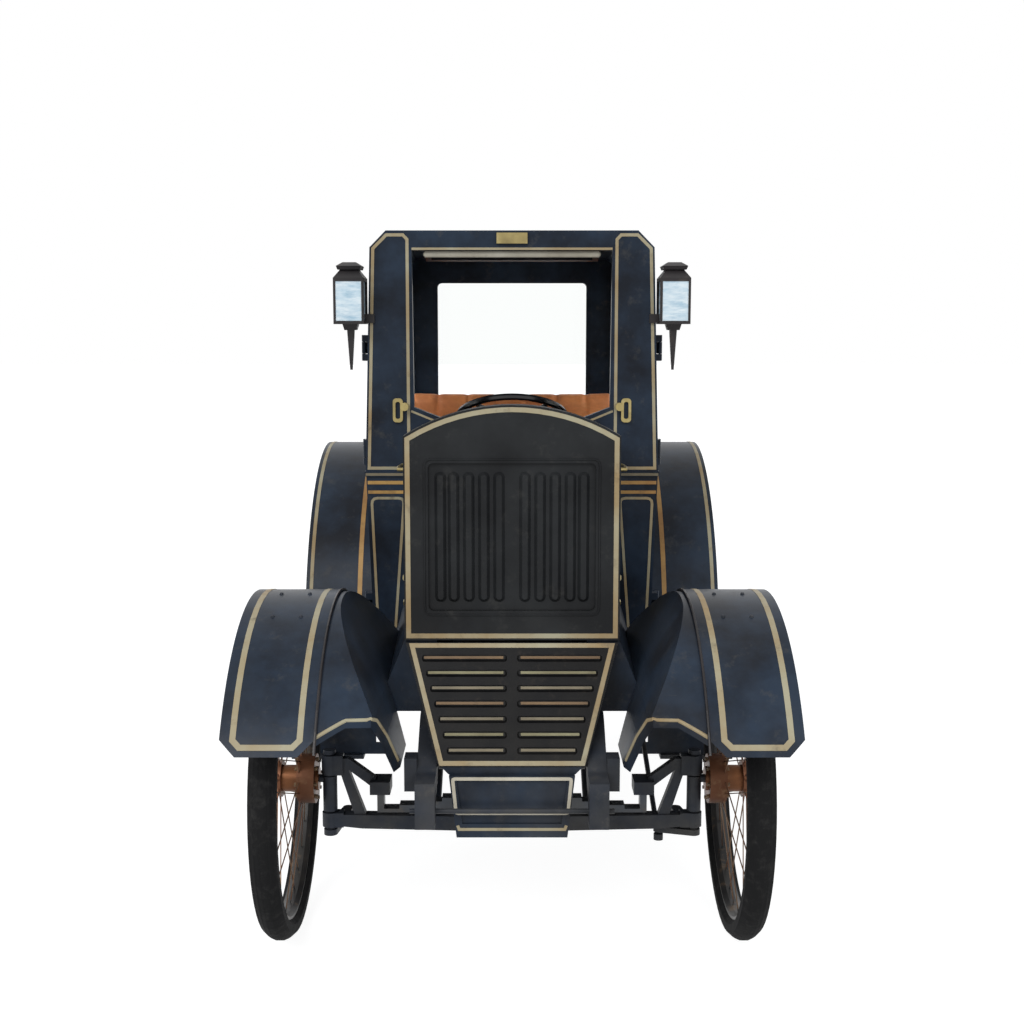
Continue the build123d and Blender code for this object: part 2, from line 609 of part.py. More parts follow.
# Seat box, cushion and back
SEAT_FRONT_Y = FRONT_AXLE_Y + 1450
SEAT_BACK_Y = FRONT_AXLE_Y + 1870
with BuildPart() as seat_box:
    with Locations((0, (SEAT_FRONT_Y + SEAT_BACK_Y + 110) / 2 + 10, (FLOOR_TOP + 1000) / 2)):
        Box(860, SEAT_BACK_Y + 110 - SEAT_FRONT_Y - 20, 1000 - FLOOR_TOP)
with BuildPart() as seat_cushion:
    with Locations((0, (SEAT_FRONT_Y + SEAT_BACK_Y) / 2 - 1, 1065)):
        Box(868, SEAT_BACK_Y - SEAT_FRONT_Y - 2, 130)
    fillet(seat_cushion.edges().filter_by(Axis.X), radius=30)
with BuildPart() as seat_back:
    with BuildSketch(along(-434)):
        Polygon(
            (SEAT_BACK_Y, 1000), (SEAT_BACK_Y + 108, 1000), (SEAT_BACK_Y + 138, 1509), (SEAT_BACK_Y + 40, 1509),
            align=None,
        )
    extrude(amount=868)
    fillet(seat_back.edges().filter_by(Axis.X).group_by(Axis.Z)[-1], radius=30)

# Steering column on the centre line, with its box under the floor
steer_axis = Vector(0, sin(radians(STEER_TILT)), cos(radians(STEER_TILT)))
steer_centre = Vector(0, STEER_Y, STEER_Z)
column_length = (STEER_Z - 60 - FLOOR_TOP) / steer_axis.Z
with BuildPart() as steering_column:
    with BuildSketch(Plane(origin=steer_centre - steer_axis * 60, z_dir=-steer_axis)):
        Circle(19)
    extrude(amount=column_length + 30)
    with BuildSketch(Plane(origin=steer_centre - steer_axis * 60, z_dir=-steer_axis)):
        Circle(10 + RUNNING_GAP)
    extrude(amount=90, mode=Mode.SUBTRACT)
    with Locations((0, DROP_ARM_Y, DROP_ARM_Z - 7)):
        Box(120, 90, 2 * (RAIL_TOP - DROP_ARM_Z) + 14)
    with Locations((0, DROP_ARM_Y, RAIL_TOP - 4)):
        Box(2 * (RAIL_INNER + 30), 60, 8)
    with Locations(Plane(origin=(60, DROP_ARM_Y, DROP_ARM_Z), z_dir=(1, 0, 0))):
        Cylinder(12 + RUNNING_GAP, 60, mode=Mode.SUBTRACT)
    add(chassis_frame.part, mode=Mode.SUBTRACT)
# Cab floor on the rails, cut for the column
with BuildPart() as cab_floor:
    with BuildSketch(Plane.XY.offset(RAIL_TOP)):
        with Locations((0, (CAB_FRONT_Y + CAB_REAR_Y) / 2)):
            Rectangle(2 * 447, CAB_REAR_Y - CAB_FRONT_Y - 2 * WALL)
    extrude(amount=FLOOR_TOP - RAIL_TOP)
    add(steering_column.part, mode=Mode.SUBTRACT)

with BuildPart() as steering_wheel:
    wheel_plane = Plane(origin=steer_centre, x_dir=(1, 0, 0), z_dir=steer_axis)
    rim_centre = steer_centre + wheel_plane.x_dir * STEER_RIM
    with BuildSketch(Plane(origin=rim_centre, x_dir=wheel_plane.x_dir, z_dir=wheel_plane.y_dir)):
        RegularPolygon(STEER_GRIP, 8)
    revolve(axis=Axis(steer_centre, wheel_plane.z_dir))
    with BuildSketch(wheel_plane.offset(-16)):
        Circle(30)
    extrude(amount=26)
    for turn in range(4):
        angle = radians(45 + 90 * turn)
        direction = wheel_plane.x_dir * cos(angle) + wheel_plane.y_dir * sin(angle)
        with BuildSketch(Plane(origin=steer_centre + direction * 20, z_dir=direction)):
            Circle(7)
        extrude(amount=STEER_RIM - 20)
    with BuildSketch(wheel_plane.offset(-10)):
        Circle(10)
    extrude(amount=-130)

# Front fenders: a band over the wheel and a mud apron that falls to the frame
APRON_DROP = 6.0
SHEET_PROFILE = ((500.0, 1060.0), (478.0, 1000.0), (384.0, 838.0), (352.0, 779.0), (328.0, 712.0), (300.0, 600.0))


def arc_disc(arc, inset, x_from, x_to, mode=Mode.ADD):
    """Solid disc of a fender arc between two places across the car."""
    with BuildSketch(along(x_from)) as disc:
        with Locations((arc[0], arc[1])):
            Circle(arc[2] - inset)
    extrude(disc.sketch, amount=x_to - x_from, mode=mode)


with BuildPart() as fender_band:
    arc_disc(FRONT_ARC, 0, FRONT_FENDER_INNER, FRONT_FENDER_OUTER)
    arc_disc(FRONT_ARC, FENDER_SHEET, FRONT_FENDER_INNER + 6, FRONT_FENDER_OUTER + 10, Mode.SUBTRACT)
    arc_disc(FRONT_ARC, APRON_DROP + 12, FRONT_FENDER_INNER - 10, FRONT_FENDER_OUTER + 10, Mode.SUBTRACT)
    with Locations((619, FRONT_ARC[0] - 500, FRONT_FENDER_TIP - 500)):
        Box(300, 1000, 1000, mode=Mode.SUBTRACT)
    with Locations((619, FRONT_ARC[0] + 500, BOARD_TOP - 500)):
        Box(300, 1000, 1000, mode=Mode.SUBTRACT)
    with BuildSketch(across(FRONT_ARC[0] - 400)):
        Polygon(
            (FRONT_FENDER_OUTER + 1, 740), (FRONT_FENDER_OUTER + 1, 690), (698, 690), (698, 701),
            align=None,
        )
        Polygon(
            (FRONT_FENDER_INNER - 1, 740), (FRONT_FENDER_INNER - 1, 690), (540, 690), (540, 701),
            align=None,
        )
    extrude(amount=400, mode=Mode.SUBTRACT)

with BuildPart() as fender_apron:
    arc_disc(FRONT_ARC, APRON_DROP, 280, FRONT_FENDER_INNER + 1)
    with BuildSketch(across(FRONT_ARC[0] + 700)):
        Polygon(*SHEET_PROFILE, (300, 200), (FRONT_FENDER_INNER + 1, 200), (FRONT_FENDER_INNER + 1, 1060), align=None)
    extrude(amount=1400, mode=Mode.INTERSECT)
with BuildPart() as fender_hollow:
    arc_disc(FRONT_ARC, APRON_DROP + 12, 280, FRONT_FENDER_INNER + 20)
    with BuildSketch(across(FRONT_ARC[0] + 700)):
        Polygon(
            *[(x + 12, z - 8) for x, z in SHEET_PROFILE], (312, 100), (FRONT_FENDER_INNER + 20, 100),
            (FRONT_FENDER_INNER + 20, 1060),
            align=None,
        )
    extrude(amount=1400, mode=Mode.INTERSECT)
with BuildPart() as front_fenders:
    add(fender_apron.part)
    add(fender_hollow.part, mode=Mode.SUBTRACT)
    with BuildSketch(Plane.XY):
        # in plan the front edge of the apron runs back from the fender to the frame
        Polygon(
            (FRONT_FENDER_INNER + 40, FRONT_AXLE_Y - 560), (498, FRONT_AXLE_Y - 549), (425, FRONT_AXLE_Y - 521),
            (360, FRONT_AXLE_Y - 520), (330, FRONT_AXLE_Y - 440), (283, FRONT_AXLE_Y - 288),
            (250, FRONT_AXLE_Y - 250), (250, FRONT_AXLE_Y - 900),
            (FRONT_FENDER_INNER + 40, FRONT_AXLE_Y - 900),
            align=None,
        )
    extrude(amount=2000, mode=Mode.SUBTRACT)
    with Locations((400, FRONT_ARC[0] - 500, 600 - 500)):
        Box(300, 1000, 1000, mode=Mode.SUBTRACT)
    with Locations((400, FRONT_ARC[0] + 500, BOARD_TOP - 500)):
        Box(300, 1000, 1000, mode=Mode.SUBTRACT)
    # the apron stops on the valance and on the frame
    stop_front = section(COWL_Y, (150, VALANCE_TOP), (301, VALANCE_TOP), (385, RAIL_TOP), (385, 200), (150, 200))
    stop_rear = section(CAB_FRONT_Y, (150, VALANCE_TOP), (354, VALANCE_TOP), (410, RAIL_TOP), (410, 200), (150, 200))
    loft([stop_front, stop_rear], ruled=True, mode=Mode.SUBTRACT)
    with Locations((KINGPIN_X + DRAG_ARM[0], FRONT_AXLE_Y + 590, BOARD_TOP + 80)):
        Box(44, 140, 84, mode=Mode.SUBTRACT)
    add(fender_band.part)
    mirror(about=Plane.YZ)
    add(chassis_frame.part, mode=Mode.SUBTRACT)

# Rear fenders, closed against the sides of the cab
with BuildPart() as rear_fenders:
    arc_disc(REAR_ARC, 0, 430, REAR_FENDER_OUTER)
    arc_disc(REAR_ARC, FENDER_SHEET, 420, REAR_FENDER_OUTER + 10, Mode.SUBTRACT)
    with Locations((600, REAR_ARC[0] + 500, REAR_FENDER_TIP - 1000)):
        Box(400, 1000, 2000, mode=Mode.SUBTRACT)
    with Locations((600, REAR_ARC[0] - 500, BOARD_TOP - 1000)):
        Box(400, 1000, 2000, mode=Mode.SUBTRACT)
    mirror(about=Plane.YZ)
    with BuildSketch(across(CAB_REAR_Y + 1000)):
        cab_outline()
    extrude(amount=1000 + CAB_REAR_Y - CAB_FRONT_Y, mode=Mode.SUBTRACT)
    with Locations((0, 0, BEAD_Z)):
        Box(2 * (503 + BEAD_PROUD) + 2, 4000, 22, mode=Mode.SUBTRACT)
    with Locations((0, CAB_FRONT_Y, 300)):
        Box(2 * 480, 4000, 640, mode=Mode.SUBTRACT)

# Running boards on brackets from the rails
BOARD_FRONT = FRONT_ARC[0] + arc_reach(FRONT_ARC, BOARD_TOP) - 30
BOARD_REAR = REAR_ARC[0] - arc_reach(REAR_ARC, BOARD_TOP) + 30
with BuildPart() as running_boards:
    with Locations((619, (BOARD_FRONT + BOARD_REAR) / 2, BOARD_TOP - BOARD_SHEET / 2)):
        Box(242, BOARD_REAR - BOARD_FRONT, BOARD_SHEET)
    with Locations((634, (BOARD_FRONT + BOARD_REAR) / 2, BOARD_TOP + BOARD_MAT / 2)):
        Box(188, BOARD_REAR - BOARD_FRONT - 120, BOARD_MAT)
    for place in (BOARD_FRONT + 110, BOARD_REAR - 90):
        with BuildSketch(across(place + 16)):
            Polygon(
                (RAIL_OUTER, 684), (RAIL_OUTER, 640), (330, 589), (506, 589), (506, 309), (730, 321), (730, 333),
                (528, 333), (528, 609), (336, 609), (286, 684),
                align=None,
            )
        extrude(amount=32)
    mirror(about=Plane.YZ)

# Carriage lamps on brackets at the cab's front posts
LAMP_X = 546.0
LAMP_Y = FRONT_AXLE_Y + 815
LAMP_HALF = 51.0
LAMP_DEPTH = 65.0
LAMP_LOW = 1781.0
LAMP_HIGH = 1934.0
with BuildPart() as lamps:
    with Locations((LAMP_X, LAMP_Y, (LAMP_LOW + LAMP_HIGH) / 2)):
        Box(2 * LAMP_HALF, 2 * LAMP_DEPTH, LAMP_HIGH - LAMP_LOW)
        Box(2 * LAMP_HALF - 16, 2 * LAMP_DEPTH + 2, LAMP_HIGH - LAMP_LOW - 22, mode=Mode.SUBTRACT)
        Box(2 * LAMP_HALF + 2, 2 * LAMP_DEPTH - 16, LAMP_HIGH - LAMP_LOW - 22, mode=Mode.SUBTRACT)
    # stages of the top and tail: half width and half depth at each height
    for stages in (
        ((51, 65, LAMP_HIGH), (30, 38, LAMP_HIGH + 28)),
        ((38, 46, LAMP_HIGH + 28), (42, 52, LAMP_HIGH + 40)),
        ((42, 52, LAMP_HIGH + 40), (22, 28, LAMP_HIGH + 53)),
        ((20, 20, LAMP_LOW - 20), (26, 26, LAMP_LOW)),
        ((4, 4, LAMP_LOW - 154), (12, 12, LAMP_LOW - 20)),
    ):
        for half_x, half_y, z in stages:
            with BuildSketch(Plane.XY.offset(z)):
                with Locations((LAMP_X, LAMP_Y)):
                    Rectangle(2 * half_x, 2 * half_y)
        loft(ruled=True)
    with Locations((LAMP_X - LAMP_HALF - 12, LAMP_Y + 24, 1800)):
        Box(34, 50, 30)
    mirror(about=Plane.YZ)
    with BuildSketch(across(CAB_REAR_Y)):
        cab_outline()
    extrude(amount=CAB_REAR_Y - CAB_FRONT_Y, mode=Mode.SUBTRACT)

with BuildPart() as lamp_glasses:
    with Locations((LAMP_X, LAMP_Y, (LAMP_LOW + LAMP_HIGH) / 2)):
        Box(2 * LAMP_HALF - 16, 2 * LAMP_DEPTH - 4, LAMP_HIGH - LAMP_LOW - 22)
        Box(2 * LAMP_HALF - 26, 2 * LAMP_DEPTH - 10, LAMP_HIGH - LAMP_LOW - 22, mode=Mode.SUBTRACT)
    with Locations((LAMP_X, LAMP_Y, (LAMP_LOW + LAMP_HIGH) / 2)):
        Box(2 * LAMP_HALF + 2, 2 * LAMP_DEPTH - 16, LAMP_HIGH - LAMP_LOW - 22, mode=Mode.SUBTRACT)
    mirror(about=Plane.YZ)

# Small brass fittings: windscreen brackets and the plate on the header
with BuildPart() as cab_fittings:
    for side in (1, -1):
        with BuildSketch(across(CAB_FRONT_Y)):
            with Locations((side * 390, 1489)):
                RectangleRounded(34, 82, 12)
                RectangleRounded(16, 58, 7, mode=Mode.SUBTRACT)
        extrude(amount=10)
        with BuildSketch(across(CAB_FRONT_Y)):
            with Locations((side * 366, 1502)):
                Circle(14)
        extrude(amount=30)
    with Locations((0, CAB_FRONT_Y - 5, 2068)):
        Box(104, 10, 36)

# Knuckles: kingpin, sleeve, spindle and the arms under the axle
with BuildPart() as knuckle_right:
    with Locations((KINGPIN_X, FRONT_AXLE_Y, (ARM_TOP - ARM_SHEET + 540) / 2)):
        Cylinder(KINGPIN_R, 540 - ARM_TOP + ARM_SHEET)
    with Locations((KINGPIN_X, FRONT_AXLE_Y, (361 + 466) / 2)):
        Cylinder(21, 466 - 361)
    with Locations((KINGPIN_X, FRONT_AXLE_Y, 538)):
        Cylinder(18, 12)
    with BuildSketch(Plane(origin=(KINGPIN_X, FRONT_AXLE_Y, FRONT_RADIUS), x_dir=(0, 1, 0), z_dir=(1, 0, 0))):
        Circle(SPINDLE_R)
    extrude(amount=150)
    with BuildSketch(Plane.XY.offset(ARM_TOP - ARM_SHEET)):
        with Locations((KINGPIN_X, FRONT_AXLE_Y)):
            Circle(20)
        with Locations((KINGPIN_X + TIE_ARM[0], FRONT_AXLE_Y + TIE_ARM[1])):
            Circle(16)
        make_hull()
    extrude(amount=ARM_SHEET)
    with Locations((KINGPIN_X + TIE_ARM[0], FRONT_AXLE_Y + TIE_ARM[1], TIE_ROD_Z + 8)):
        Cylinder(8, 2 * (ARM_TOP - ARM_SHEET - TIE_ROD_Z - 8) + 4)
    mirror(about=Plane.YZ)
    split(bisect_by=Plane.YZ, keep=Keep.BOTTOM)
with BuildPart() as knuckle_left:
    mirror(knuckle_right.part, about=Plane.YZ)
    with BuildSketch(Plane.XY.offset(ARM_TOP - ARM_SHEET)):
        with Locations((KINGPIN_X, FRONT_AXLE_Y)):
            Circle(20)
        with Locations((KINGPIN_X + DRAG_ARM[0], FRONT_AXLE_Y + DRAG_ARM[1])):
            Circle(15)
        make_hull()
    extrude(amount=ARM_SHEET)

# Tie rod between the knuckle arms, with an eye at each end; the right eye is a loose fit
TIE_PIN_R = 8.0
with BuildPart() as tie_rod:
    with BuildSketch(Plane(origin=(-495, FRONT_AXLE_Y + TIE_ARM[1], TIE_ROD_Z), z_dir=(1, 0, 0))):
        Circle(7)
    extrude(amount=990)
    for side, slack in ((1, RUNNING_GAP), (-1, 5.0)):
        with Locations((side * (KINGPIN_X + TIE_ARM[0]), FRONT_AXLE_Y + TIE_ARM[1], TIE_ROD_Z)):
            Cylinder(17, 18)
            Cylinder(TIE_PIN_R + slack, 20, mode=Mode.SUBTRACT)

# Drop arm on its cross shaft, and the drag link to the left knuckle
LINK_X = KINGPIN_X + DRAG_ARM[0]
LINK_FRONT = Vector(LINK_X, FRONT_AXLE_Y + DRAG_ARM[1], LINK_FRONT_Z)
LINK_REAR = Vector(LINK_X, DROP_ARM_Y, LINK_REAR_Z)
LINK_PIN_R = 7.0
with BuildPart() as drop_arm:
    with BuildSketch(Plane(origin=(32, DROP_ARM_Y, DROP_ARM_Z), z_dir=(1, 0, 0))):
        Circle(12)
    extrude(amount=DROP_ARM_X - 32)
    with BuildSketch(along(DROP_ARM_X)):
        with Locations((DROP_ARM_Y, DROP_ARM_Z)):
            Circle(22)
        with Locations((DROP_ARM_Y, LINK_REAR_Z)):
            Circle(14)
        make_hull()
    extrude(amount=12)
    with BuildSketch(Plane(origin=(DROP_ARM_X + 6, DROP_ARM_Y, LINK_REAR_Z), z_dir=(1, 0, 0))):
        Circle(LINK_PIN_R)
    extrude(amount=44)
with BuildPart() as drag_link:
    with BuildSketch(Plane(origin=LINK_FRONT, z_dir=LINK_REAR - LINK_FRONT)):
        Circle(8)
    extrude(amount=(LINK_REAR - LINK_FRONT).length)
    with Locations(LINK_FRONT):
        Cylinder(14, 18)
    with BuildSketch(Plane(origin=LINK_REAR - Vector(9, 0, 0), z_dir=(1, 0, 0))):
        Circle(15)
    extrude(amount=18)
    with BuildSketch(Plane(origin=LINK_REAR - Vector(20, 0, 0), z_dir=(1, 0, 0))):
        Circle(LINK_PIN_R + RUNNING_GAP)
    extrude(amount=40, mode=Mode.SUBTRACT)

# Wheels: each row gives the axle, its height, the wheel plane and the hub's inner face
WHEELS = (
    # name, axle y, radius, wheel plane, hub inner face, tyre depth
    ("front", FRONT_AXLE_Y, FRONT_RADIUS, FRONT_TRACK, 566.0, 57.0),
    ("rear", REAR_AXLE_Y, REAR_RADIUS, REAR_TRACK, 590.0, 62.0),
)
SPOKES = 28
TYRE_SIDES = 60
TYRE_CROWN = (
    # place across the tyre, fall below the tread
    (-37.5, 20.0), (-22.0, 6.0), (-8.0, 0.0), (8.0, 0.0), (22.0, 6.0), (37.5, 20.0),
)


def tyre_band(y, height, stages, mode=Mode.ADD):
    """Many-sided band about a wheel's axle through a list of (x, flat radius) stages."""
    rings = []
    for x, reach in stages:
        with BuildSketch(Plane(origin=(x, y, height), x_dir=(0, 1, 0), z_dir=(1, 0, 0))) as ring:
            RegularPolygon(reach, TYRE_SIDES, major_radius=False, rotation=180 / TYRE_SIDES)
        rings.append(ring.sketch)
    loft(rings, ruled=True, mode=mode)


tyres = {}
wheels = {}
hubs = {}
for axle, y, radius, plane_x, hub_x, depth in WHEELS:
    spin = Axis((0, y, radius), (1, 0, 0))
    seat = radius - depth
    with BuildPart() as tyre:
        tyre_band(y, radius, [(plane_x + x, radius - fall) for x, fall in TYRE_CROWN])
        tyre_band(y, radius, [(plane_x - 24, seat + 0.05), (plane_x + 24, seat + 0.05)], Mode.SUBTRACT)
        for side in (1, -1):
            edge = plane_x + side * (TYRE_WIDTH / 2 + 1)
            tyre_band(y, radius, [(plane_x + side * 24, seat + 0.05), (edge, seat + 14)], Mode.SUBTRACT)
    with BuildPart() as hub:
        with BuildSketch(across(y)):
            # bearing neck, drum, barrel and cap
            Polygon(
                (hub_x, radius), (hub_x, radius + 35), (hub_x + 8, radius + 35), (hub_x + 8, radius + 72),
                (hub_x + 58, radius + 72), (hub_x + 58, radius + 39), (plane_x + 13, radius + 39),
                (plane_x + 13, radius + 54), (plane_x + 43, radius + 48), (plane_x + 43, radius),
                align=None,
            )
        revolve(axis=spin)
        with BuildSketch(Plane(origin=(hub_x - 5, y, radius), z_dir=(1, 0, 0))):
            Circle(SPINDLE_R + RUNNING_GAP)
        extrude(amount=plane_x + 34 - hub_x, mode=Mode.SUBTRACT)
    with BuildPart() as wheel:
        with BuildSketch(across(y)):
            Polygon(
                (plane_x - 24, radius + seat), (plane_x - 24, radius + seat - 8), (plane_x - 10, radius + seat - 16),
                (plane_x + 10, radius + seat - 16), (plane_x + 24, radius + seat - 8), (plane_x + 24, radius + seat),
                align=None,
            )
        revolve(axis=spin)
        for spoke in range(SPOKES):
            angle = 2 * pi * spoke / SPOKES
            lean = radians(38) * (1 if spoke % 2 else -1)
            inner = spoke % 4 < 2
            root_x = hub_x + 50 if inner else plane_x + 22
            root_r = 66 if inner else 44
            root = Vector(root_x, y + root_r * cos(angle + lean), radius + root_r * sin(angle + lean))
            tip_r = seat - 10
            tip = Vector(plane_x, y + tip_r * cos(angle), radius + tip_r * sin(angle))
            run = tip - root
            with BuildSketch(Plane(origin=root, z_dir=run)):
                Rectangle(3, 3)
            extrude(amount=run.length)
        add(hub.part, mode=Mode.SUBTRACT)
    hubs[axle] = hub
    tyres[axle] = tyre
    wheels[axle] = wheel

PIECES = {
    "chassis_frame": chassis_frame,
    "front_locker": front_locker,
    "nose_apron": nose_apron,
    "radiator_cowl": radiator_cowl,
    "bonnet_left": bonnet_left,
    "bonnet_right": bonnet_right,
    "bonnet_hinge": bonnet_hinge,
    "scuttle": scuttle,
    "valances": valances,
    "engine_block": engine_block,
    "front_axle": front_axle,
    "leaf_springs": leaf_springs,
    "rear_axle": rear_axle,
    "cab_floor": cab_floor,
    "cab_front": cab_front,
    "cab_rear": cab_rear,
    "cab_roof": cab_roof,
    "cab_side_left": cab_side_left,
    "cab_side_right": cab_side_right,
    "cab_glass": cab_glass,
    "door_left": door_left,
    "door_right": door_right,
    "door_glass_left": door_glass_left,
    "door_glass_right": door_glass_right,
    "windscreen_frame": windscreen_frame,
    "windscreen_glass": windscreen_glass,
    "seat_box": seat_box,
    "seat_cushion": seat_cushion,
    "seat_back": seat_back,
    "steering_column": steering_column,
    "steering_wheel": steering_wheel,
    "front_fenders": front_fenders,
    "rear_fenders": rear_fenders,
    "running_boards": running_boards,
    "lamps": lamps,
    "lamp_glasses": lamp_glasses,
    "cab_fittings": cab_fittings,
    "knuckle_left": knuckle_left,
    "knuckle_right": knuckle_right,
    "tie_rod": tie_rod,
    "drop_arm": drop_arm,
    "drag_link": drag_link,
}
for axle in ("front", "rear"):
    PIECES[axle + "_tyre_left"] = tyres[axle]
    PIECES[axle + "_wheel_left"] = wheels[axle]
    PIECES[axle + "_hub_left"] = hubs[axle]
    with BuildPart() as tyre_right:
        mirror(tyres[axle].part, about=Plane.YZ)
    with BuildPart() as wheel_right:
        mirror(wheels[axle].part, about=Plane.YZ)
    with BuildPart() as hub_right:
        mirror(hubs[axle].part, about=Plane.YZ)
    PIECES[axle + "_tyre_right"] = tyre_right
    PIECES[axle + "_wheel_right"] = wheel_right
    PIECES[axle + "_hub_right"] = hub_right

os.makedirs("parts", exist_ok=True)
for name, piece in PIECES.items():
    piece.part.label = name
    export_step(piece.part, "parts/" + name + ".step")
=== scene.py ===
import math

import bmesh
import bpy
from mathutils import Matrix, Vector


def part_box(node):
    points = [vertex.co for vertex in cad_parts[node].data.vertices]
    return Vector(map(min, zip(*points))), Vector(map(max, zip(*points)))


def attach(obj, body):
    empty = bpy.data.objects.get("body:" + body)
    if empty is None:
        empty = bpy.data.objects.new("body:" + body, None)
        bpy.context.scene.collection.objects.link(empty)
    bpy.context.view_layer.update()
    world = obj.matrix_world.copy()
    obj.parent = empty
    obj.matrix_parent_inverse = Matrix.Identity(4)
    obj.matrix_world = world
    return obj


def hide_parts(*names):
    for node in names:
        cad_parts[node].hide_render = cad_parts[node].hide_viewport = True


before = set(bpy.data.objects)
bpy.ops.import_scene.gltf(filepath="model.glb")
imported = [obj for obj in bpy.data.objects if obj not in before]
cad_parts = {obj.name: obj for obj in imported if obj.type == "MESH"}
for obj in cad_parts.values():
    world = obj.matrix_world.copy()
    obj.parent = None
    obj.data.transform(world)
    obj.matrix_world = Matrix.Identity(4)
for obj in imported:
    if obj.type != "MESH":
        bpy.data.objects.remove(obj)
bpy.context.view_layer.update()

# Sizes in metres, the same as the solids'. The car faces -Y and its left side is +X.
FRONT_AXLE_Y = -1.041
REAR_AXLE_Y = FRONT_AXLE_Y + 1.960
FRONT_RADIUS, REAR_RADIUS = 0.457, 0.548
COWL_Y = FRONT_AXLE_Y - 0.137
BONNET_FRONT_Y, BONNET_REAR_Y = COWL_Y + 0.064, FRONT_AXLE_Y + 0.663
CAB_FRONT_Y, CAB_REAR_Y = FRONT_AXLE_Y + 0.823, FRONT_AXLE_Y + 2.331
LOCKER_Y = FRONT_AXLE_Y - 0.340
APRON_FOOT_Y = FRONT_AXLE_Y - 0.320
DOOR_FRONT_Y, DOOR_REAR_Y = FRONT_AXLE_Y + 0.920, FRONT_AXLE_Y + 1.440
FRONT_ARC = (FRONT_AXLE_Y - 0.030, 0.375, 0.641)
REAR_ARC = (FRONT_AXLE_Y + 1.970, 0.485, 0.800)
BELT_Z = 1.298
SIDES = (("left", 1), ("right", -1))
BONNET_HALF, BONNET_FLARE = 0.286, 0.0802
APRON_TOP, APRON_FOOT = (0.298, 0.895), (0.198, 0.590)
LOUVRE_FIRST, LOUVRE_PITCH, LOUVRE_HEIGHT = 0.13, 0.123, 0.0072
BOLT_CIRCLE, BOLTS, FLANGE_WIDTH = 0.058, 8, 0.050
ROAD_DUST = (0.13, 0.115, 0.09)


# Finishes

def node(tree, kind, **values):
    """Node of one kind; keys that name an input set it, and the rest are the node's own settings."""
    made = tree.nodes.new(kind)
    for key, value in values.items():
        name = key.replace("_", " ")
        if name in made.inputs:
            made.inputs[name].default_value = value
        else:
            setattr(made, key, value)
    return made


def spread(tree, value, low, high, to_low=0.0, to_high=1.0):
    """Map Range of a value, clamped."""
    made = node(tree, "ShaderNodeMapRange", From_Min=low, From_Max=high, To_Min=to_low, To_Max=to_high)
    tree.links.new(value, made.inputs["Value"])
    return made.outputs["Result"]


def combine(tree, operation, first, second, clamp=False):
    """Math on two sockets."""
    made = node(tree, "ShaderNodeMath", operation=operation, use_clamp=clamp)
    tree.links.new(first, made.inputs[0])
    tree.links.new(second, made.inputs[1])
    return made.outputs[0]


def blend_colour(tree, share, first, second):
    """Colour mix; each side is a socket or a fixed colour."""
    made = node(tree, "ShaderNodeMix", data_type="RGBA")
    tree.links.new(share, made.inputs["Factor"])
    for side, value in (("A", first), ("B", second)):
        socket = [s for s in made.inputs if s.name == side and s.type == "RGBA"][0]
        if isinstance(value, bpy.types.NodeSocket):
            tree.links.new(value, socket)
        else:
            socket.default_value = (*value, 1)
    return [s for s in made.outputs if s.type == "RGBA"][0]


def coordinates(tree, scale=(1, 1, 1)):
    """The piece's own coordinates, stretched by scale."""
    place = node(tree, "ShaderNodeTexCoord")
    mapping = node(tree, "ShaderNodeMapping", Scale=scale)
    tree.links.new(place.outputs["Object"], mapping.inputs["Vector"])
    return mapping.outputs["Vector"]


def mottle(tree, scale, detail=6.0, stretch=(1, 1, 1), rough=0.6):
    """Noise on the piece's own coordinates."""
    made = node(tree, "ShaderNodeTexNoise", Scale=scale, Detail=detail, Roughness=rough)
    tree.links.new(coordinates(tree, stretch), made.inputs["Vector"])
    return made.outputs["Fac"]


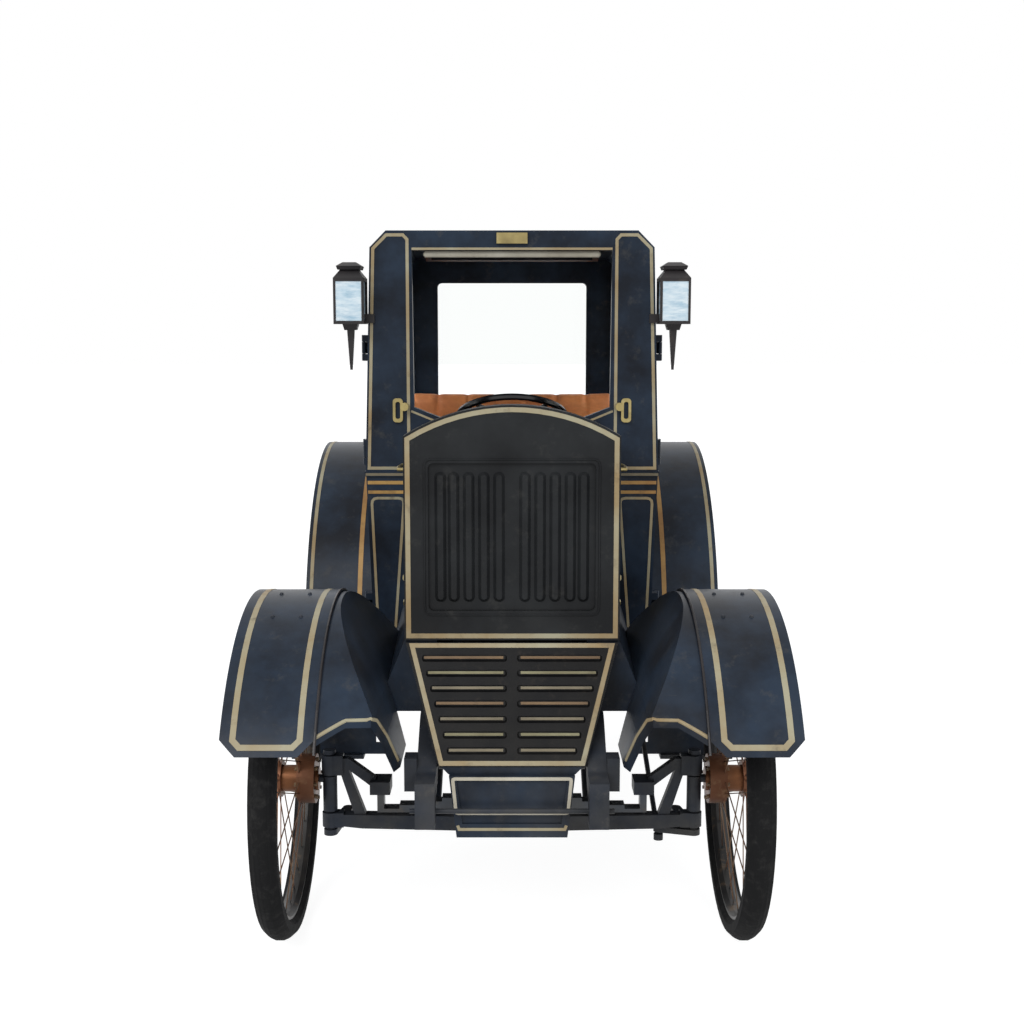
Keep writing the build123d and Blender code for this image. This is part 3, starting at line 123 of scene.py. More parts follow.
def old_surface_group():
    """Shared wear: broad mottling, rubbed patches, fine scratches and road dust low down."""
    tree = bpy.data.node_groups.new("old_surface", "ShaderNodeTree")
    sockets = (
        ("INPUT", "NodeSocketColor", ("Base", "Deep", "Rubbed")),
        ("INPUT", "NodeSocketFloat", ("Wear", "Dust")),
        ("OUTPUT", "NodeSocketColor", ("Color",)),
        ("OUTPUT", "NodeSocketFloat", ("Scuff", "Height")),
    )
    for way, kind, names in sockets:
        for name in names:
            tree.interface.new_socket(name, in_out=way, socket_type=kind)
    given = tree.nodes.new("NodeGroupInput")
    result = tree.nodes.new("NodeGroupOutput")
    broad = spread(tree, mottle(tree, 4.5, 5.0), 0.36, 0.64)
    patches = spread(tree, mottle(tree, 16.0, 9.0, rough=0.72), 0.56, 0.74)
    scratches = spread(tree, mottle(tree, 9.0, 8.0, (1, 7, 26), 0.8), 0.66, 0.72)
    strokes = spread(tree, mottle(tree, 8.0, 8.0, (22, 9, 1.5), 0.8), 0.67, 0.73)
    marks = combine(tree, "MAXIMUM", scratches, strokes)
    rub = combine(tree, "MAXIMUM", patches, marks)
    amount = combine(tree, "MULTIPLY", rub, given.outputs["Wear"], True)
    painted = blend_colour(tree, broad, given.outputs["Deep"], given.outputs["Base"])
    worn = blend_colour(tree, amount, painted, given.outputs["Rubbed"])
    height = node(tree, "ShaderNodeSeparateXYZ")
    tree.links.new(coordinates(tree), height.inputs[0])
    low = spread(tree, height.outputs["Z"], 0.25, 1.1, 1.0, 0.0)
    dust = combine(tree, "MULTIPLY", low, spread(tree, mottle(tree, 7.0, 7.0), 0.4, 0.75))
    dusty = combine(tree, "MULTIPLY", dust, given.outputs["Dust"], True)
    colour = blend_colour(tree, dusty, worn, ROAD_DUST)
    tree.links.new(colour, result.inputs["Color"])
    tree.links.new(amount, result.inputs["Scuff"])
    fine = combine(tree, "SUBTRACT", mottle(tree, 260.0, 3.0), marks)
    tree.links.new(fine, result.inputs["Height"])
    return tree


OLD_SURFACE = old_surface_group()


def blank_finish(name, **values):
    """New material; keys with _ for blanks set the shader's own sockets."""
    material = bpy.data.materials.new(name)
    material.use_nodes = True
    shader = material.node_tree.nodes["Principled BSDF"]
    for key, value in values.items():
        shader.inputs[key.replace("_", " ")].default_value = value
    return material, material.node_tree, shader


def raise_grain(tree, shader, height, strength, depth):
    """Bump from a height socket."""
    bump = node(tree, "ShaderNodeBump", Strength=strength, Distance=depth)
    tree.links.new(height, bump.inputs["Height"])
    tree.links.new(bump.outputs["Normal"], shader.inputs["Normal"])


def worn_finish(name, base, deep, rubbed, wear=0.5, dust=0.3, smooth=0.35, dull=0.6, relief=0.2, **values):
    """Paint or metal with the shared wear on it."""
    material, tree, shader = blank_finish(name, **values)
    wear_node = node(tree, "ShaderNodeGroup", node_tree=OLD_SURFACE)
    for key, colour in (("Base", base), ("Deep", deep), ("Rubbed", rubbed)):
        wear_node.inputs[key].default_value = (*colour, 1)
    for key, value in (("Wear", wear), ("Dust", dust)):
        wear_node.inputs[key].default_value = value
    tree.links.new(wear_node.outputs["Color"], shader.inputs["Base Color"])
    tree.links.new(spread(tree, wear_node.outputs["Scuff"], 0, 1, smooth, dull), shader.inputs["Roughness"])
    raise_grain(tree, shader, wear_node.outputs["Height"], relief, 0.0006)
    return material


def wheel_finish(name, centre_y, radius, rim_from):
    """Copper-brown hub, rusty spokes and a dark rim, told apart by their distance from the axle."""
    material, tree, shader = blank_finish(name, Specular_IOR_Level=0.35)
    wear_node = node(tree, "ShaderNodeGroup", node_tree=OLD_SURFACE)
    part = node(tree, "ShaderNodeSeparateXYZ")
    tree.links.new(coordinates(tree), part.inputs[0])
    flat = node(tree, "ShaderNodeCombineXYZ")
    for axis, centre in (("Y", centre_y), ("Z", radius)):
        shift = node(tree, "ShaderNodeMath", operation="SUBTRACT")
        shift.inputs[1].default_value = centre
        tree.links.new(part.outputs[axis], shift.inputs[0])
        tree.links.new(shift.outputs[0], flat.inputs[axis])
    reach = node(tree, "ShaderNodeVectorMath", operation="LENGTH")
    tree.links.new(flat.outputs[0], reach.inputs[0])
    spoke = spread(tree, reach.outputs["Value"], 0.074, 0.078)
    rim = spread(tree, reach.outputs["Value"], rim_from, rim_from + 0.004)
    barrel = spread(tree, reach.outputs["Value"], 0.036, 0.052)
    copper = blend_colour(tree, barrel, (0.25, 0.098, 0.036), (0.14, 0.052, 0.022))
    rust = blend_colour(tree, spoke, copper, (0.19, 0.12, 0.07))
    full = blend_colour(tree, rim, rust, (0.022, 0.021, 0.021))
    tree.links.new(full, wear_node.inputs["Base"])
    deep = blend_colour(tree, rim, (0.095, 0.036, 0.016), (0.013, 0.013, 0.014))
    tree.links.new(deep, wear_node.inputs["Deep"])
    wear_node.inputs["Rubbed"].default_value = (0.34, 0.22, 0.12, 1)
    wear_node.inputs["Wear"].default_value = 0.5
    wear_node.inputs["Dust"].default_value = 0.15
    tree.links.new(wear_node.outputs["Color"], shader.inputs["Base Color"])
    tree.links.new(spread(tree, rim, 0, 1, 0.55, 0.0), shader.inputs["Metallic"])
    tree.links.new(spread(tree, wear_node.outputs["Scuff"], 0, 1, 0.38, 0.6), shader.inputs["Roughness"])
    raise_grain(tree, shader, wear_node.outputs["Height"], 0.25, 0.0008)
    return material


def rubber_finish():
    """Old tyre rubber: dull, ribbed across the tread, with pale scuffs."""
    material, tree, shader = blank_finish("old_rubber", Roughness=0.85, Specular_IOR_Level=0.1)
    scuff = spread(tree, mottle(tree, 30.0, 9.0, rough=0.75), 0.5, 0.8)
    colour = blend_colour(tree, scuff, (0.0105, 0.0105, 0.011), (0.034, 0.033, 0.032))
    tree.links.new(colour, shader.inputs["Base Color"])
    rib = node(tree, "ShaderNodeTexWave", wave_type="BANDS", bands_direction="X", Scale=26.0, Distortion=0.4)
    tree.links.new(coordinates(tree), rib.inputs["Vector"])
    height = combine(tree, "ADD", rib.outputs["Fac"], mottle(tree, 220.0, 4.0))
    raise_grain(tree, shader, height, 0.35, 0.0015)
    return material


def leather_finish(name, base, deep, pale):
    """Leather with pebbled grain, creases and rubbed high spots."""
    material, tree, shader = blank_finish(name, Specular_IOR_Level=0.4, Sheen_Weight=0.05)
    broad = spread(tree, mottle(tree, 6.0, 7.0, rough=0.65), 0.35, 0.65)
    rubbed = spread(tree, mottle(tree, 14.0, 8.0, (1, 1.6, 2.4), 0.75), 0.58, 0.78)
    colour = blend_colour(tree, rubbed, blend_colour(tree, broad, deep, base), pale)
    cells = node(tree, "ShaderNodeTexVoronoi", feature="DISTANCE_TO_EDGE", Scale=330.0)
    tree.links.new(coordinates(tree), cells.inputs["Vector"])
    grain = spread(tree, cells.outputs["Distance"], 0.0, 0.16)
    creases = spread(tree, mottle(tree, 24.0, 9.0, (1, 2, 5), 0.8), 0.38, 0.52)
    colour = blend_colour(tree, spread(tree, creases, 0, 1, 0.35, 0.0), colour, deep)
    tree.links.new(colour, shader.inputs["Base Color"])
    tree.links.new(spread(tree, rubbed, 0, 1, 0.42, 0.6), shader.inputs["Roughness"])
    raise_grain(tree, shader, combine(tree, "ADD", grain, creases), 0.4, 0.0009)
    return material


def wood_finish(name, base, deep, board=0.12):
    """Boards along the car with grain and dark joints."""
    material, tree, shader = blank_finish(name, Roughness=0.62, Specular_IOR_Level=0.3)
    grain = mottle(tree, 5.0, 9.0, (9, 0.6, 9), 0.7)
    colour = blend_colour(tree, spread(tree, grain, 0.36, 0.66), deep, base)
    joint = node(
        tree, "ShaderNodeTexWave", wave_type="BANDS", bands_direction="X", wave_profile="SAW",
        Scale=0.159 / board,
    )
    tree.links.new(coordinates(tree), joint.inputs["Vector"])
    line = spread(tree, joint.outputs["Fac"], 0.0, 0.05)
    tree.links.new(blend_colour(tree, line, (0.008, 0.006, 0.005), colour), shader.inputs["Base Color"])
    raise_grain(tree, shader, combine(tree, "ADD", grain, line), 0.35, 0.0012)
    return material


def lamp_glass_finish():
    """Pale blue bevelled lamp glass, with pale slanting streaks painted in as reflections."""
    material, tree, shader = blank_finish(
        "lamp_pane", Roughness=0.16, Specular_IOR_Level=0.6, Coat_Weight=0.6
    )
    place = node(tree, "ShaderNodeTexCoord")
    turn = node(tree, "ShaderNodeMapping", Rotation=(0, math.radians(38), 0), Scale=(5, 5, 24))
    tree.links.new(place.outputs["Object"], turn.inputs["Vector"])
    painted_reflection_streaks = node(tree, "ShaderNodeTexNoise", Scale=2.2, Detail=7.0, Roughness=0.7)
    tree.links.new(turn.outputs["Vector"], painted_reflection_streaks.inputs["Vector"])
    # The pale slanting streaks mixed into the glass colour are painted reflections.
    pale = spread(tree, painted_reflection_streaks.outputs["Fac"], 0.36, 0.66)
    depth = spread(tree, mottle(tree, 16.0, 5.0), 0.35, 0.65)
    blue = blend_colour(tree, depth, (0.29, 0.47, 0.60), (0.50, 0.66, 0.76))
    tree.links.new(blend_colour(tree, pale, blue, (0.80, 0.87, 0.90)), shader.inputs["Base Color"])
    return material


def window_glass_finish():
    """Clear old window glass with a faint waviness."""
    material, tree, shader = blank_finish(
        "window_pane", Base_Color=(0.97, 0.99, 0.98, 1), Roughness=0.0, Transmission_Weight=1.0, IOR=1.12
    )
    raise_grain(tree, shader, mottle(tree, 9.0, 2.0), 0.02, 0.002)
    return material


ENAMEL = worn_finish(
    "coach_enamel", (0.020, 0.032, 0.053), (0.008, 0.0105, 0.0165), (0.080, 0.074, 0.064),
    wear=0.42, dust=0.22, smooth=0.34, dull=0.62, Specular_IOR_Level=0.13, Coat_Weight=0.02,
)
COWL_ENAMEL = worn_finish(
    "cowl_enamel", (0.0195, 0.021, 0.0225), (0.010, 0.0105, 0.0115), (0.065, 0.063, 0.058),
    wear=0.35, dust=0.2, smooth=0.4, dull=0.66, Specular_IOR_Level=0.13,
)
NOSE_ENAMEL = worn_finish(
    "nose_enamel", (0.0065, 0.0065, 0.0073), (0.0035, 0.0035, 0.004), (0.055, 0.045, 0.035),
    wear=0.45, dust=0.15, smooth=0.4, dull=0.62, Specular_IOR_Level=0.12,
)
SLATE = worn_finish(
    "slate_chassis_paint", (0.029, 0.035, 0.048), (0.015, 0.018, 0.024), (0.095, 0.088, 0.08),
    wear=0.55, dust=0.4, smooth=0.45, dull=0.7, Specular_IOR_Level=0.18,
)
DARK_IRON = worn_finish(
    "oily_iron", (0.03, 0.031, 0.034), (0.012, 0.012, 0.013), (0.12, 0.085, 0.055),
    wear=0.6, dust=0.7, smooth=0.42, dull=0.75, relief=0.5, Metallic=0.4,
)
SPRING_STEEL = worn_finish(
    "spring_steel", (0.055, 0.063, 0.076), (0.024, 0.027, 0.032), (0.15, 0.11, 0.075),
    wear=0.6, dust=0.5, smooth=0.4, dull=0.66, Metallic=0.5,
)
BRASS = worn_finish(
    "tarnished_brass", (0.46, 0.37, 0.155), (0.21, 0.165, 0.075), (0.66, 0.58, 0.34),
    wear=0.6, dust=0.2, smooth=0.28, dull=0.45, Metallic=0.8,
)
LAMP_METAL = worn_finish(
    "lamp_enamel", (0.026, 0.022, 0.023), (0.012, 0.011, 0.012), (0.10, 0.08, 0.06),
    wear=0.5, dust=0.0, smooth=0.32, dull=0.6, Specular_IOR_Level=0.3,
)
CREAM = worn_finish(
    "cream_lining", (0.375, 0.345, 0.24), (0.30, 0.215, 0.11), (0.10, 0.08, 0.055),
    wear=0.75, dust=0.15, smooth=0.42, dull=0.65, relief=0.1, Specular_IOR_Level=0.2,
)
GOLD = worn_finish(
    "gold_lining", (0.52, 0.305, 0.095), (0.30, 0.155, 0.05), (0.09, 0.06, 0.035),
    wear=0.6, dust=0.15, smooth=0.4, dull=0.62, relief=0.1, Specular_IOR_Level=0.3,
)
BRONZE = worn_finish(
    "bronze_lining", (0.20, 0.125, 0.062), (0.11, 0.066, 0.033), (0.06, 0.045, 0.03),
    wear=0.6, dust=0.15, smooth=0.42, dull=0.65, relief=0.1, Specular_IOR_Level=0.25,
)
BEIGE = worn_finish(
    "beige_lining", (0.225, 0.19, 0.125), (0.12, 0.10, 0.065), (0.07, 0.055, 0.04),
    wear=0.6, dust=0.15, smooth=0.42, dull=0.65, relief=0.1, Specular_IOR_Level=0.25,
)
# Olive, used only for the painted highlight bands on the nose louvres.
OLIVE_HIGHLIGHT = worn_finish(
    "olive_painted_highlight", (0.26, 0.245, 0.145), (0.15, 0.13, 0.07), (0.07, 0.055, 0.04),
    wear=0.6, dust=0.15, smooth=0.42, dull=0.65, relief=0.1, Specular_IOR_Level=0.2,
)
# Colours of the painted highlight bands on the nose louvres' crests, one per row.
LOUVRE_HIGHLIGHT_FINISHES = (BRONZE, OLIVE_HIGHLIGHT, BEIGE, BRONZE, BEIGE, OLIVE_HIGHLIGHT, BEIGE)
PALE_TRIM = worn_finish(
    "pale_trim", (0.62, 0.58, 0.48), (0.40, 0.36, 0.28), (0.2, 0.17, 0.12),
    wear=0.5, dust=0.0, smooth=0.4, dull=0.6, relief=0.1, Specular_IOR_Level=0.3,
)
BLACK_GRIP = worn_finish(
    "black_grip", (0.010, 0.010, 0.011), (0.006, 0.006, 0.007), (0.05, 0.045, 0.04),
    wear=0.35, dust=0.0, smooth=0.2, dull=0.45, Specular_IOR_Level=0.5,
)
CLOTH_LINING = leather_finish(
    "cab_lining", (0.045, 0.040, 0.040), (0.025, 0.022, 0.022), (0.075, 0.066, 0.06)
)
LEATHER = leather_finish("saddle_leather", (0.96, 0.345, 0.112), (0.66, 0.205, 0.066), (0.98, 0.50, 0.21))
FLOOR_BOARDS = wood_finish("floor_boards", (0.075, 0.045, 0.026), (0.03, 0.018, 0.011))
SEAT_WOOD = wood_finish("seat_box_wood", (0.05, 0.03, 0.02), (0.022, 0.013, 0.009), 0.16)
RUBBER = rubber_finish()
LAMP_PANE = lamp_glass_finish()
WINDOW_PANE = window_glass_finish()
FRONT_WHEEL = wheel_finish("front_wheel_metal", FRONT_AXLE_Y, FRONT_RADIUS, 0.372)
REAR_WHEEL = wheel_finish("rear_wheel_metal", REAR_AXLE_Y, REAR_RADIUS, 0.458)

FINISHES = {
    ENAMEL: (
        "front_locker", "bonnet_left", "bonnet_right", "scuttle", "valances", "cab_front", "cab_rear",
        "cab_roof", "cab_side_left", "cab_side_right", "door_left", "door_right", "front_fenders",
        "rear_fenders",
    ),
    COWL_ENAMEL: ("radiator_cowl",),
    SLATE: (
        "chassis_frame", "front_axle", "rear_axle", "knuckle_left", "knuckle_right", "tie_rod",
        "drop_arm", "drag_link", "running_boards", "steering_column",
    ),
    DARK_IRON: ("engine_block",),
    NOSE_ENAMEL: ("nose_apron",),
    SPRING_STEEL: ("leaf_springs",),
    BRASS: ("bonnet_hinge", "cab_fittings"),
    LAMP_METAL: ("lamps", "windscreen_frame"),
    BLACK_GRIP: ("steering_wheel",),
    FLOOR_BOARDS: ("cab_floor",),
    SEAT_WOOD: ("seat_box",),
    LEATHER: ("seat_cushion", "seat_back"),
    RUBBER: ("front_tyre_left", "front_tyre_right", "rear_tyre_left", "rear_tyre_right"),
    LAMP_PANE: ("lamp_glasses",),
    WINDOW_PANE: ("cab_glass", "door_glass_left", "door_glass_right", "windscreen_glass"),
    FRONT_WHEEL: ("front_wheel_left", "front_wheel_right", "front_hub_left", "front_hub_right"),
    REAR_WHEEL: ("rear_wheel_left", "rear_wheel_right", "rear_hub_left", "rear_hub_right"),
}
for finish, names in FINISHES.items():
    for name in names:
        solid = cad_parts[name]
        solid.data.materials.clear()
        solid.data.materials.append(finish)

# Shapes are gathered by body and finish, and each group becomes one piece

gathered = {}


def shown(name, mesh):
    """New object at the origin that shows a mesh, light or camera."""
    piece = bpy.data.objects.new(name, mesh)
    bpy.context.collection.objects.link(piece)
    return piece


def add_shell(group, body, finish, points, faces):
    """Adds one closed shell to a group."""
    store = gathered.setdefault((group, body, finish), ([], []))
    start = len(store[0])
    store[0].extend(Vector(p) for p in points)
    store[1].extend([start + i for i in face] for face in faces)


def add_rows(group, body, finish, rows, closed):
    """Joins equal rings of points into a swept shell, with ends unless it is closed."""
    size = len(rows[0])
    points = [p for row in rows for p in row]
    faces = []
    for i in range(len(rows) if closed else len(rows) - 1):
        a, b = i * size, ((i + 1) % len(rows)) * size
        faces += [[a + k, a + (k + 1) % size, b + (k + 1) % size, b + k] for k in range(size)]
    if not closed:
        faces.append(list(range(size)))
        faces.append([len(points) - size + k for k in range(size)])
    add_shell(group, body, finish, points, faces)


def path_frames(path, closed):
    """Direction before and after each place on a path."""
    count = len(path)
    for i in range(count):
        before = path[i] - path[i - 1] if i or closed else None
        after = path[(i + 1) % count] - path[i] if i < count - 1 or closed else None
        before = after if before is None else before
        after = before if after is None else after
        yield path[i], before.normalized(), after.normalized()


def line(group, body, finish, path, normals, width, closed=False, lift=0.0009, sink=0.004):
    """Painted line: a flat band along a path, a hair above the surface it is on."""
    path = [Vector(p) for p in path]
    rows = []
    for i, (here, before, after) in enumerate(path_frames(path, closed)):
        normal = Vector(normals[i] if isinstance(normals, list) else normals).normalized()
        first, second = normal.cross(before).normalized(), normal.cross(after).normalized()
        across = (first + second) / max(1 + first.dot(second), 0.3) * width / 2
        rows.append([here - across - normal * sink, here + across - normal * sink,
                     here + across + normal * lift, here - across + normal * lift])
    add_rows(group, body, finish, rows, closed)


def tube(group, body, finish, path, radius, sides=8, closed=False):
    """Round bar along a path."""
    path = [Vector(p) for p in path]
    rows, side = [], None
    for here, before, after in path_frames(path, closed):
        along = (before + after).normalized()
        if side is None:
            side = along.orthogonal().normalized()
        side = (side - along * side.dot(along)).normalized()
        up = along.cross(side)
        rows.append([here + (side * math.cos(t) + up * math.sin(t)) * radius
                     for t in (2 * math.pi * k / sides for k in range(sides))])
    add_rows(group, body, finish, rows, closed)


def turned(group, body, finish, centre, axis, profile, sides=24):
    """Turned shape: profile rows are (distance along the axis, radius), and the ends are closed."""
    centre, axis = Vector(centre), Vector(axis).normalized()
    side = axis.orthogonal().normalized()
    up = axis.cross(side)
    rows = [[centre + axis * far + (side * math.cos(t) + up * math.sin(t)) * max(radius, 0.0002)
             for t in (2 * math.pi * k / sides for k in range(sides))] for far, radius in profile]
    add_rows(group, body, finish, rows, False)


def plate(group, body, finish, low, high, edge=0.003):
    """Rectangular bar with bevelled edges."""
    mesh = bmesh.new()
    bmesh.ops.create_cube(mesh, size=1)
    size = Vector(high) - Vector(low)
    middle = (Vector(high) + Vector(low)) / 2
    for vertex in mesh.verts:
        vertex.co = Vector((vertex.co.x * size.x, vertex.co.y * size.y, vertex.co.z * size.z)) + middle
    bmesh.ops.bevel(mesh, geom=mesh.edges[:], offset=min(edge, min(size) * 0.4), segments=2, affect="EDGES")
    mesh.verts.index_update()
    faces = [[v.index for v in face.verts] for face in mesh.faces]
    add_shell(group, body, finish, [v.co.copy() for v in mesh.verts], faces)
    mesh.free()


def rounded(corners, radius, steps=4):
    """Closed outline with its corners turned to short curves."""
    out = []
    for i, corner in enumerate(corners):
        here = Vector(corner)
        back = Vector(corners[i - 1]) - here
        ahead = Vector(corners[(i + 1) % len(corners)]) - here
        reach = min(radius, back.length / 2, ahead.length / 2)
        start, end = here + back.normalized() * reach, here + ahead.normalized() * reach
        for k in range(steps + 1):
            t = k / steps
            out.append(start * (1 - t) ** 2 + here * 2 * t * (1 - t) + end * t**2)
    return out


def arc_place(arc, angle, grow=0.0):
    """Place and normal on a fender arc; the angle is from straight up, towards the rear."""
    y = arc[0] + (arc[2] + grow) * math.sin(angle)
    z = arc[1] + (arc[2] + grow) * math.cos(angle)
    return y, z, (0, math.sin(angle), math.cos(angle))


def side_skin(z):
    """Half width of the cab at a height."""
    if z <= BELT_Z:
        return 0.478 + 0.025 * (z - 0.615) / 0.683
    return 0.503 - 0.022 * (z - BELT_Z) / 0.740


def bonnet_skin(y):
    """Half width of the bonnet at a place along the car."""
    return BONNET_HALF + BONNET_FLARE * (y - BONNET_FRONT_Y)


def side_line(group, body, finish, side, outline, width, closed=True):
    """Line on the side of the cab, through (y, z) places."""
    path, normals = [], []
    for y, z in outline:
        path.append((side * side_skin(z), y, z))
        normals.append((side, 0, -0.0366 if z <= BELT_Z else 0.0297))
    line(group, body, finish, path, normals, width, closed)


def front_line(group, finish, side, outline, width, y=CAB_FRONT_Y, closed=True):
    """Line on an upright face across the car, through (x, z) places."""
    line(group, "root", finish, [(side * x, y, z) for x, z in outline], (0, -1, 0), width, closed)


# Lining of the nose, cowl and cab front

def nose_lining():
    """Frame line on the sloping nose apron, and painted highlight bands along its louvres' crests."""
    top = Vector((APRON_TOP[0], COWL_Y, APRON_TOP[1]))
    foot = Vector((APRON_FOOT[0], APRON_FOOT_Y, APRON_FOOT[1]))
    slope = Vector((0, foot.y - top.y, foot.z - top.z))
    normal = (0, slope.z, -slope.y)

    def on_apron(x, share):
        return Vector((x, top.y + slope.y * share, top.z + slope.z * share))

    line("nose_lining", "root", CREAM,
         [on_apron(-0.280, 0.025), on_apron(0.280, 0.025), on_apron(0.192, 0.965), on_apron(-0.192, 0.965)],
         normal, 0.013, True)
    # Each louvre crest carries a thin coloured band: a painted highlight, not a real line.
    crest = Vector(normal).normalized() * LOUVRE_HEIGHT
    for row, finish in enumerate(LOUVRE_HIGHLIGHT_FINISHES):
        share = LOUVRE_FIRST + LOUVRE_PITCH * row
        reach = APRON_TOP[0] - 0.100 * share - 0.034
        for _, side in SIDES:
            path = [on_apron(side * x, share) + crest for x in (0.024, reach - 0.006)]
            line("louvre_lips", "root", finish, path, normal, 0.0075, False, 0.0012, 0.004)


def cowl_lining():
    """Arched frame line of the cowl and the bead round its panel."""
    half, corner, foot, crest = 0.2895, 1.466, 0.914, 1.5475
    rise = crest - corner
    radius = (half**2 + rise**2) / (2 * rise)
    arch = []
    for k in range(17):
        x = half - 2 * half * k / 16
        arch.append((x, crest - radius + math.sqrt(radius**2 - x**2)))
    front_line("cowl_lining", CREAM, 1, [(-half, foot), (half, foot), *arch], 0.0135, COWL_Y)
    frame_line = rounded([(-0.243, 0.974), (0.243, 0.974), (0.243, 1.411), (-0.243, 1.411)], 0.02)
    tube("cowl_beads", "root", COWL_ENAMEL, [(p[0], COWL_Y, p[1]) for p in frame_line], 0.0035, 6, True)


def locker_lining():
    """Frame line of the locker's lid and the turned-up line below it."""
    outline = rounded([(-0.160, 0.566), (0.160, 0.566), (0.151, 0.470), (-0.151, 0.470)], 0.006, 2)
    front_line("locker_lining", PALE_TRIM, 1, outline, 0.009, LOCKER_Y)
    lower = [(-0.147, 0.436), (-0.143, 0.425), (0.143, 0.425), (0.147, 0.436)]
    front_line("locker_lining", CREAM, 1, lower, 0.008, LOCKER_Y, False)


def cab_front_lining():
    """Frame lines of the posts and lower panels, and the straight lines at the belt, sill and header."""
    post = [(0.354, 1.290), (0.491, 1.290), (0.4695, 2.034), (0.424, 2.079), (0.368, 2.079), (0.354, 2.064)]
    lower = [(0.372, 1.186), (0.484, 1.186), (0.470, 0.820), (0.464, 0.655), (0.425, 0.640), (0.412, 0.655)]
    lower = rounded(lower, 0.02, 3)
    belt = [(0.350, 1.269), (0.503, 1.269)]
    for _, side in SIDES:
        front_line("post_lining", CREAM, side, post, 0.0105)
        front_line("belt_lining", BEIGE, side, belt, 0.009, CAB_FRONT_Y - 0.008, False)
        front_line("belt_lining", GOLD, side, [(0.358, 1.240), (0.497, 1.240)], 0.012, closed=False)
        front_line("belt_lining", GOLD, side, [(0.358, 1.207), (0.496, 1.207)], 0.011, closed=False)
        front_line("panel_lining", CREAM, side, lower, 0.009)
        front_line("sill_lining", CREAM, side, [(0.345, 1.486), (0.236, 1.441)], 0.007, closed=False)
    front_line("header_lining", CREAM, 1, [(-0.339, 2.033), (0.339, 2.033)], 0.008, closed=False)


def side_lining():
    """Frame lines of the doors, quarter windows and bonnet lids."""
    notch = 0.822 + 0.042
    front, rear = DOOR_FRONT_Y + 0.040, DOOR_REAR_Y - 0.040
    start = math.asin((rear - REAR_ARC[0]) / notch)
    end = -math.acos((0.745 - REAR_ARC[1]) / notch)
    curve = [(REAR_ARC[0] + notch * math.sin(start + (end - start) * k / 8),
              REAR_ARC[1] + notch * math.cos(start + (end - start) * k / 8)) for k in range(9)]
    door_panel = [(front, 0.745), (front, 1.222), (rear, 1.222), *curve]
    door_window = rounded([(DOOR_FRONT_Y + 0.028, 1.318), (DOOR_REAR_Y - 0.028, 1.318),
                           (DOOR_REAR_Y - 0.028, 1.972), (DOOR_FRONT_Y + 0.028, 1.972)], 0.03)
    quarter = rounded([(DOOR_REAR_Y + 0.045, 1.318), (CAB_REAR_Y - 0.045, 1.318),
                       (CAB_REAR_Y - 0.045, 2.010), (DOOR_REAR_Y + 0.045, 2.010)], 0.03)
    waist = [(DOOR_REAR_Y + 0.02, 1.240), (CAB_REAR_Y - 0.03, 1.240)]
    lid = rounded([(BONNET_FRONT_Y + 0.03, 0.935), (BONNET_FRONT_Y + 0.03, 1.420),
                   (BONNET_REAR_Y - 0.03, 1.362), (BONNET_REAR_Y - 0.03, 0.935)], 0.02)
    for name, side in SIDES:
        side_line("door_lining_" + name, "door_" + name, CREAM, side, door_panel, 0.008)
        side_line("door_lining_" + name, "door_" + name, CREAM, side, door_window, 0.007)
        side_line("cab_side_lining", "root", CREAM, side, quarter, 0.008)
        side_line("cab_side_lining", "root", GOLD, side, waist, 0.009, False)
        outline = [(side * bonnet_skin(y), y, z) for y, z in lid]
        line("bonnet_lining_" + name, "bonnet_" + name, CREAM, outline, (side, -BONNET_FLARE, 0), 0.008, True)


def rear_lining():
    """Frame lines of the cab's back, round the window and on the panel below it."""
    window = ((-0.455, 1.318), (0.455, 1.318), (0.440, 2.024), (-0.440, 2.024))
    panel = ((-0.458, 0.66), (0.458, 0.66), (0.470, 1.222), (-0.470, 1.222))
    for corners in (window, panel):
        path = [(x, CAB_REAR_Y, z) for x, z in rounded(corners, 0.03)]
        line("rear_lining", "root", CREAM, path, (0, 1, 0), 0.009, True)


def fender_lining():
    """Lines round the front fenders and along the rear ones, and the front fenders' rolled edges."""
    outer, inner = 0.706, 0.536
    tip = -math.acos((0.722 - FRONT_ARC[1]) / FRONT_ARC[2])
    tail = math.acos((0.372 - FRONT_ARC[1]) / FRONT_ARC[2])
    chamfer = 0.030
    round_front = [(outer, tail + (tip + chamfer - tail) * k / 24) for k in range(25)]
    round_front += [(outer - 0.018, tip), (inner + 0.018, tip)]
    round_front += [(inner, tip + chamfer + (tail - tip - chamfer) * k / 24) for k in range(25)]
    low = -math.acos((0.372 - REAR_ARC[1]) / REAR_ARC[2])
    high = math.acos((0.905 - REAR_ARC[1]) / REAR_ARC[2])
    along_rear = [low + (high - low) * k / 32 for k in range(33)]
    rear_lines = ((CREAM, 0.757, 0.013), (GOLD, 0.574, 0.017))
    rolled = [tip - 0.03 + (tail - tip) * k / 28 for k in range(29)]

    def on_arc(arc, side, places):
        found = [(side * x, *arc_place(arc, angle)) for x, angle in places]
        return [place[:3] for place in found], [place[3] for place in found]

    for _, side in SIDES:
        path, normals = on_arc(FRONT_ARC, side, round_front)
        line("front_fender_lining", "root", CREAM, path, normals, 0.0155, False, 0.0012, 0.005)
        for finish, x, width in rear_lines:
            path, normals = on_arc(REAR_ARC, side, [(x, angle) for angle in along_rear])
            line("rear_fender_lining", "root", finish, path, normals, width, False, 0.0012, 0.005)
        path, _ = on_arc(FRONT_ARC, side, [(0.498, angle) for angle in rolled])
        tube("fender_rolled_edges", "root", LAMP_METAL, path, 0.004, 6)


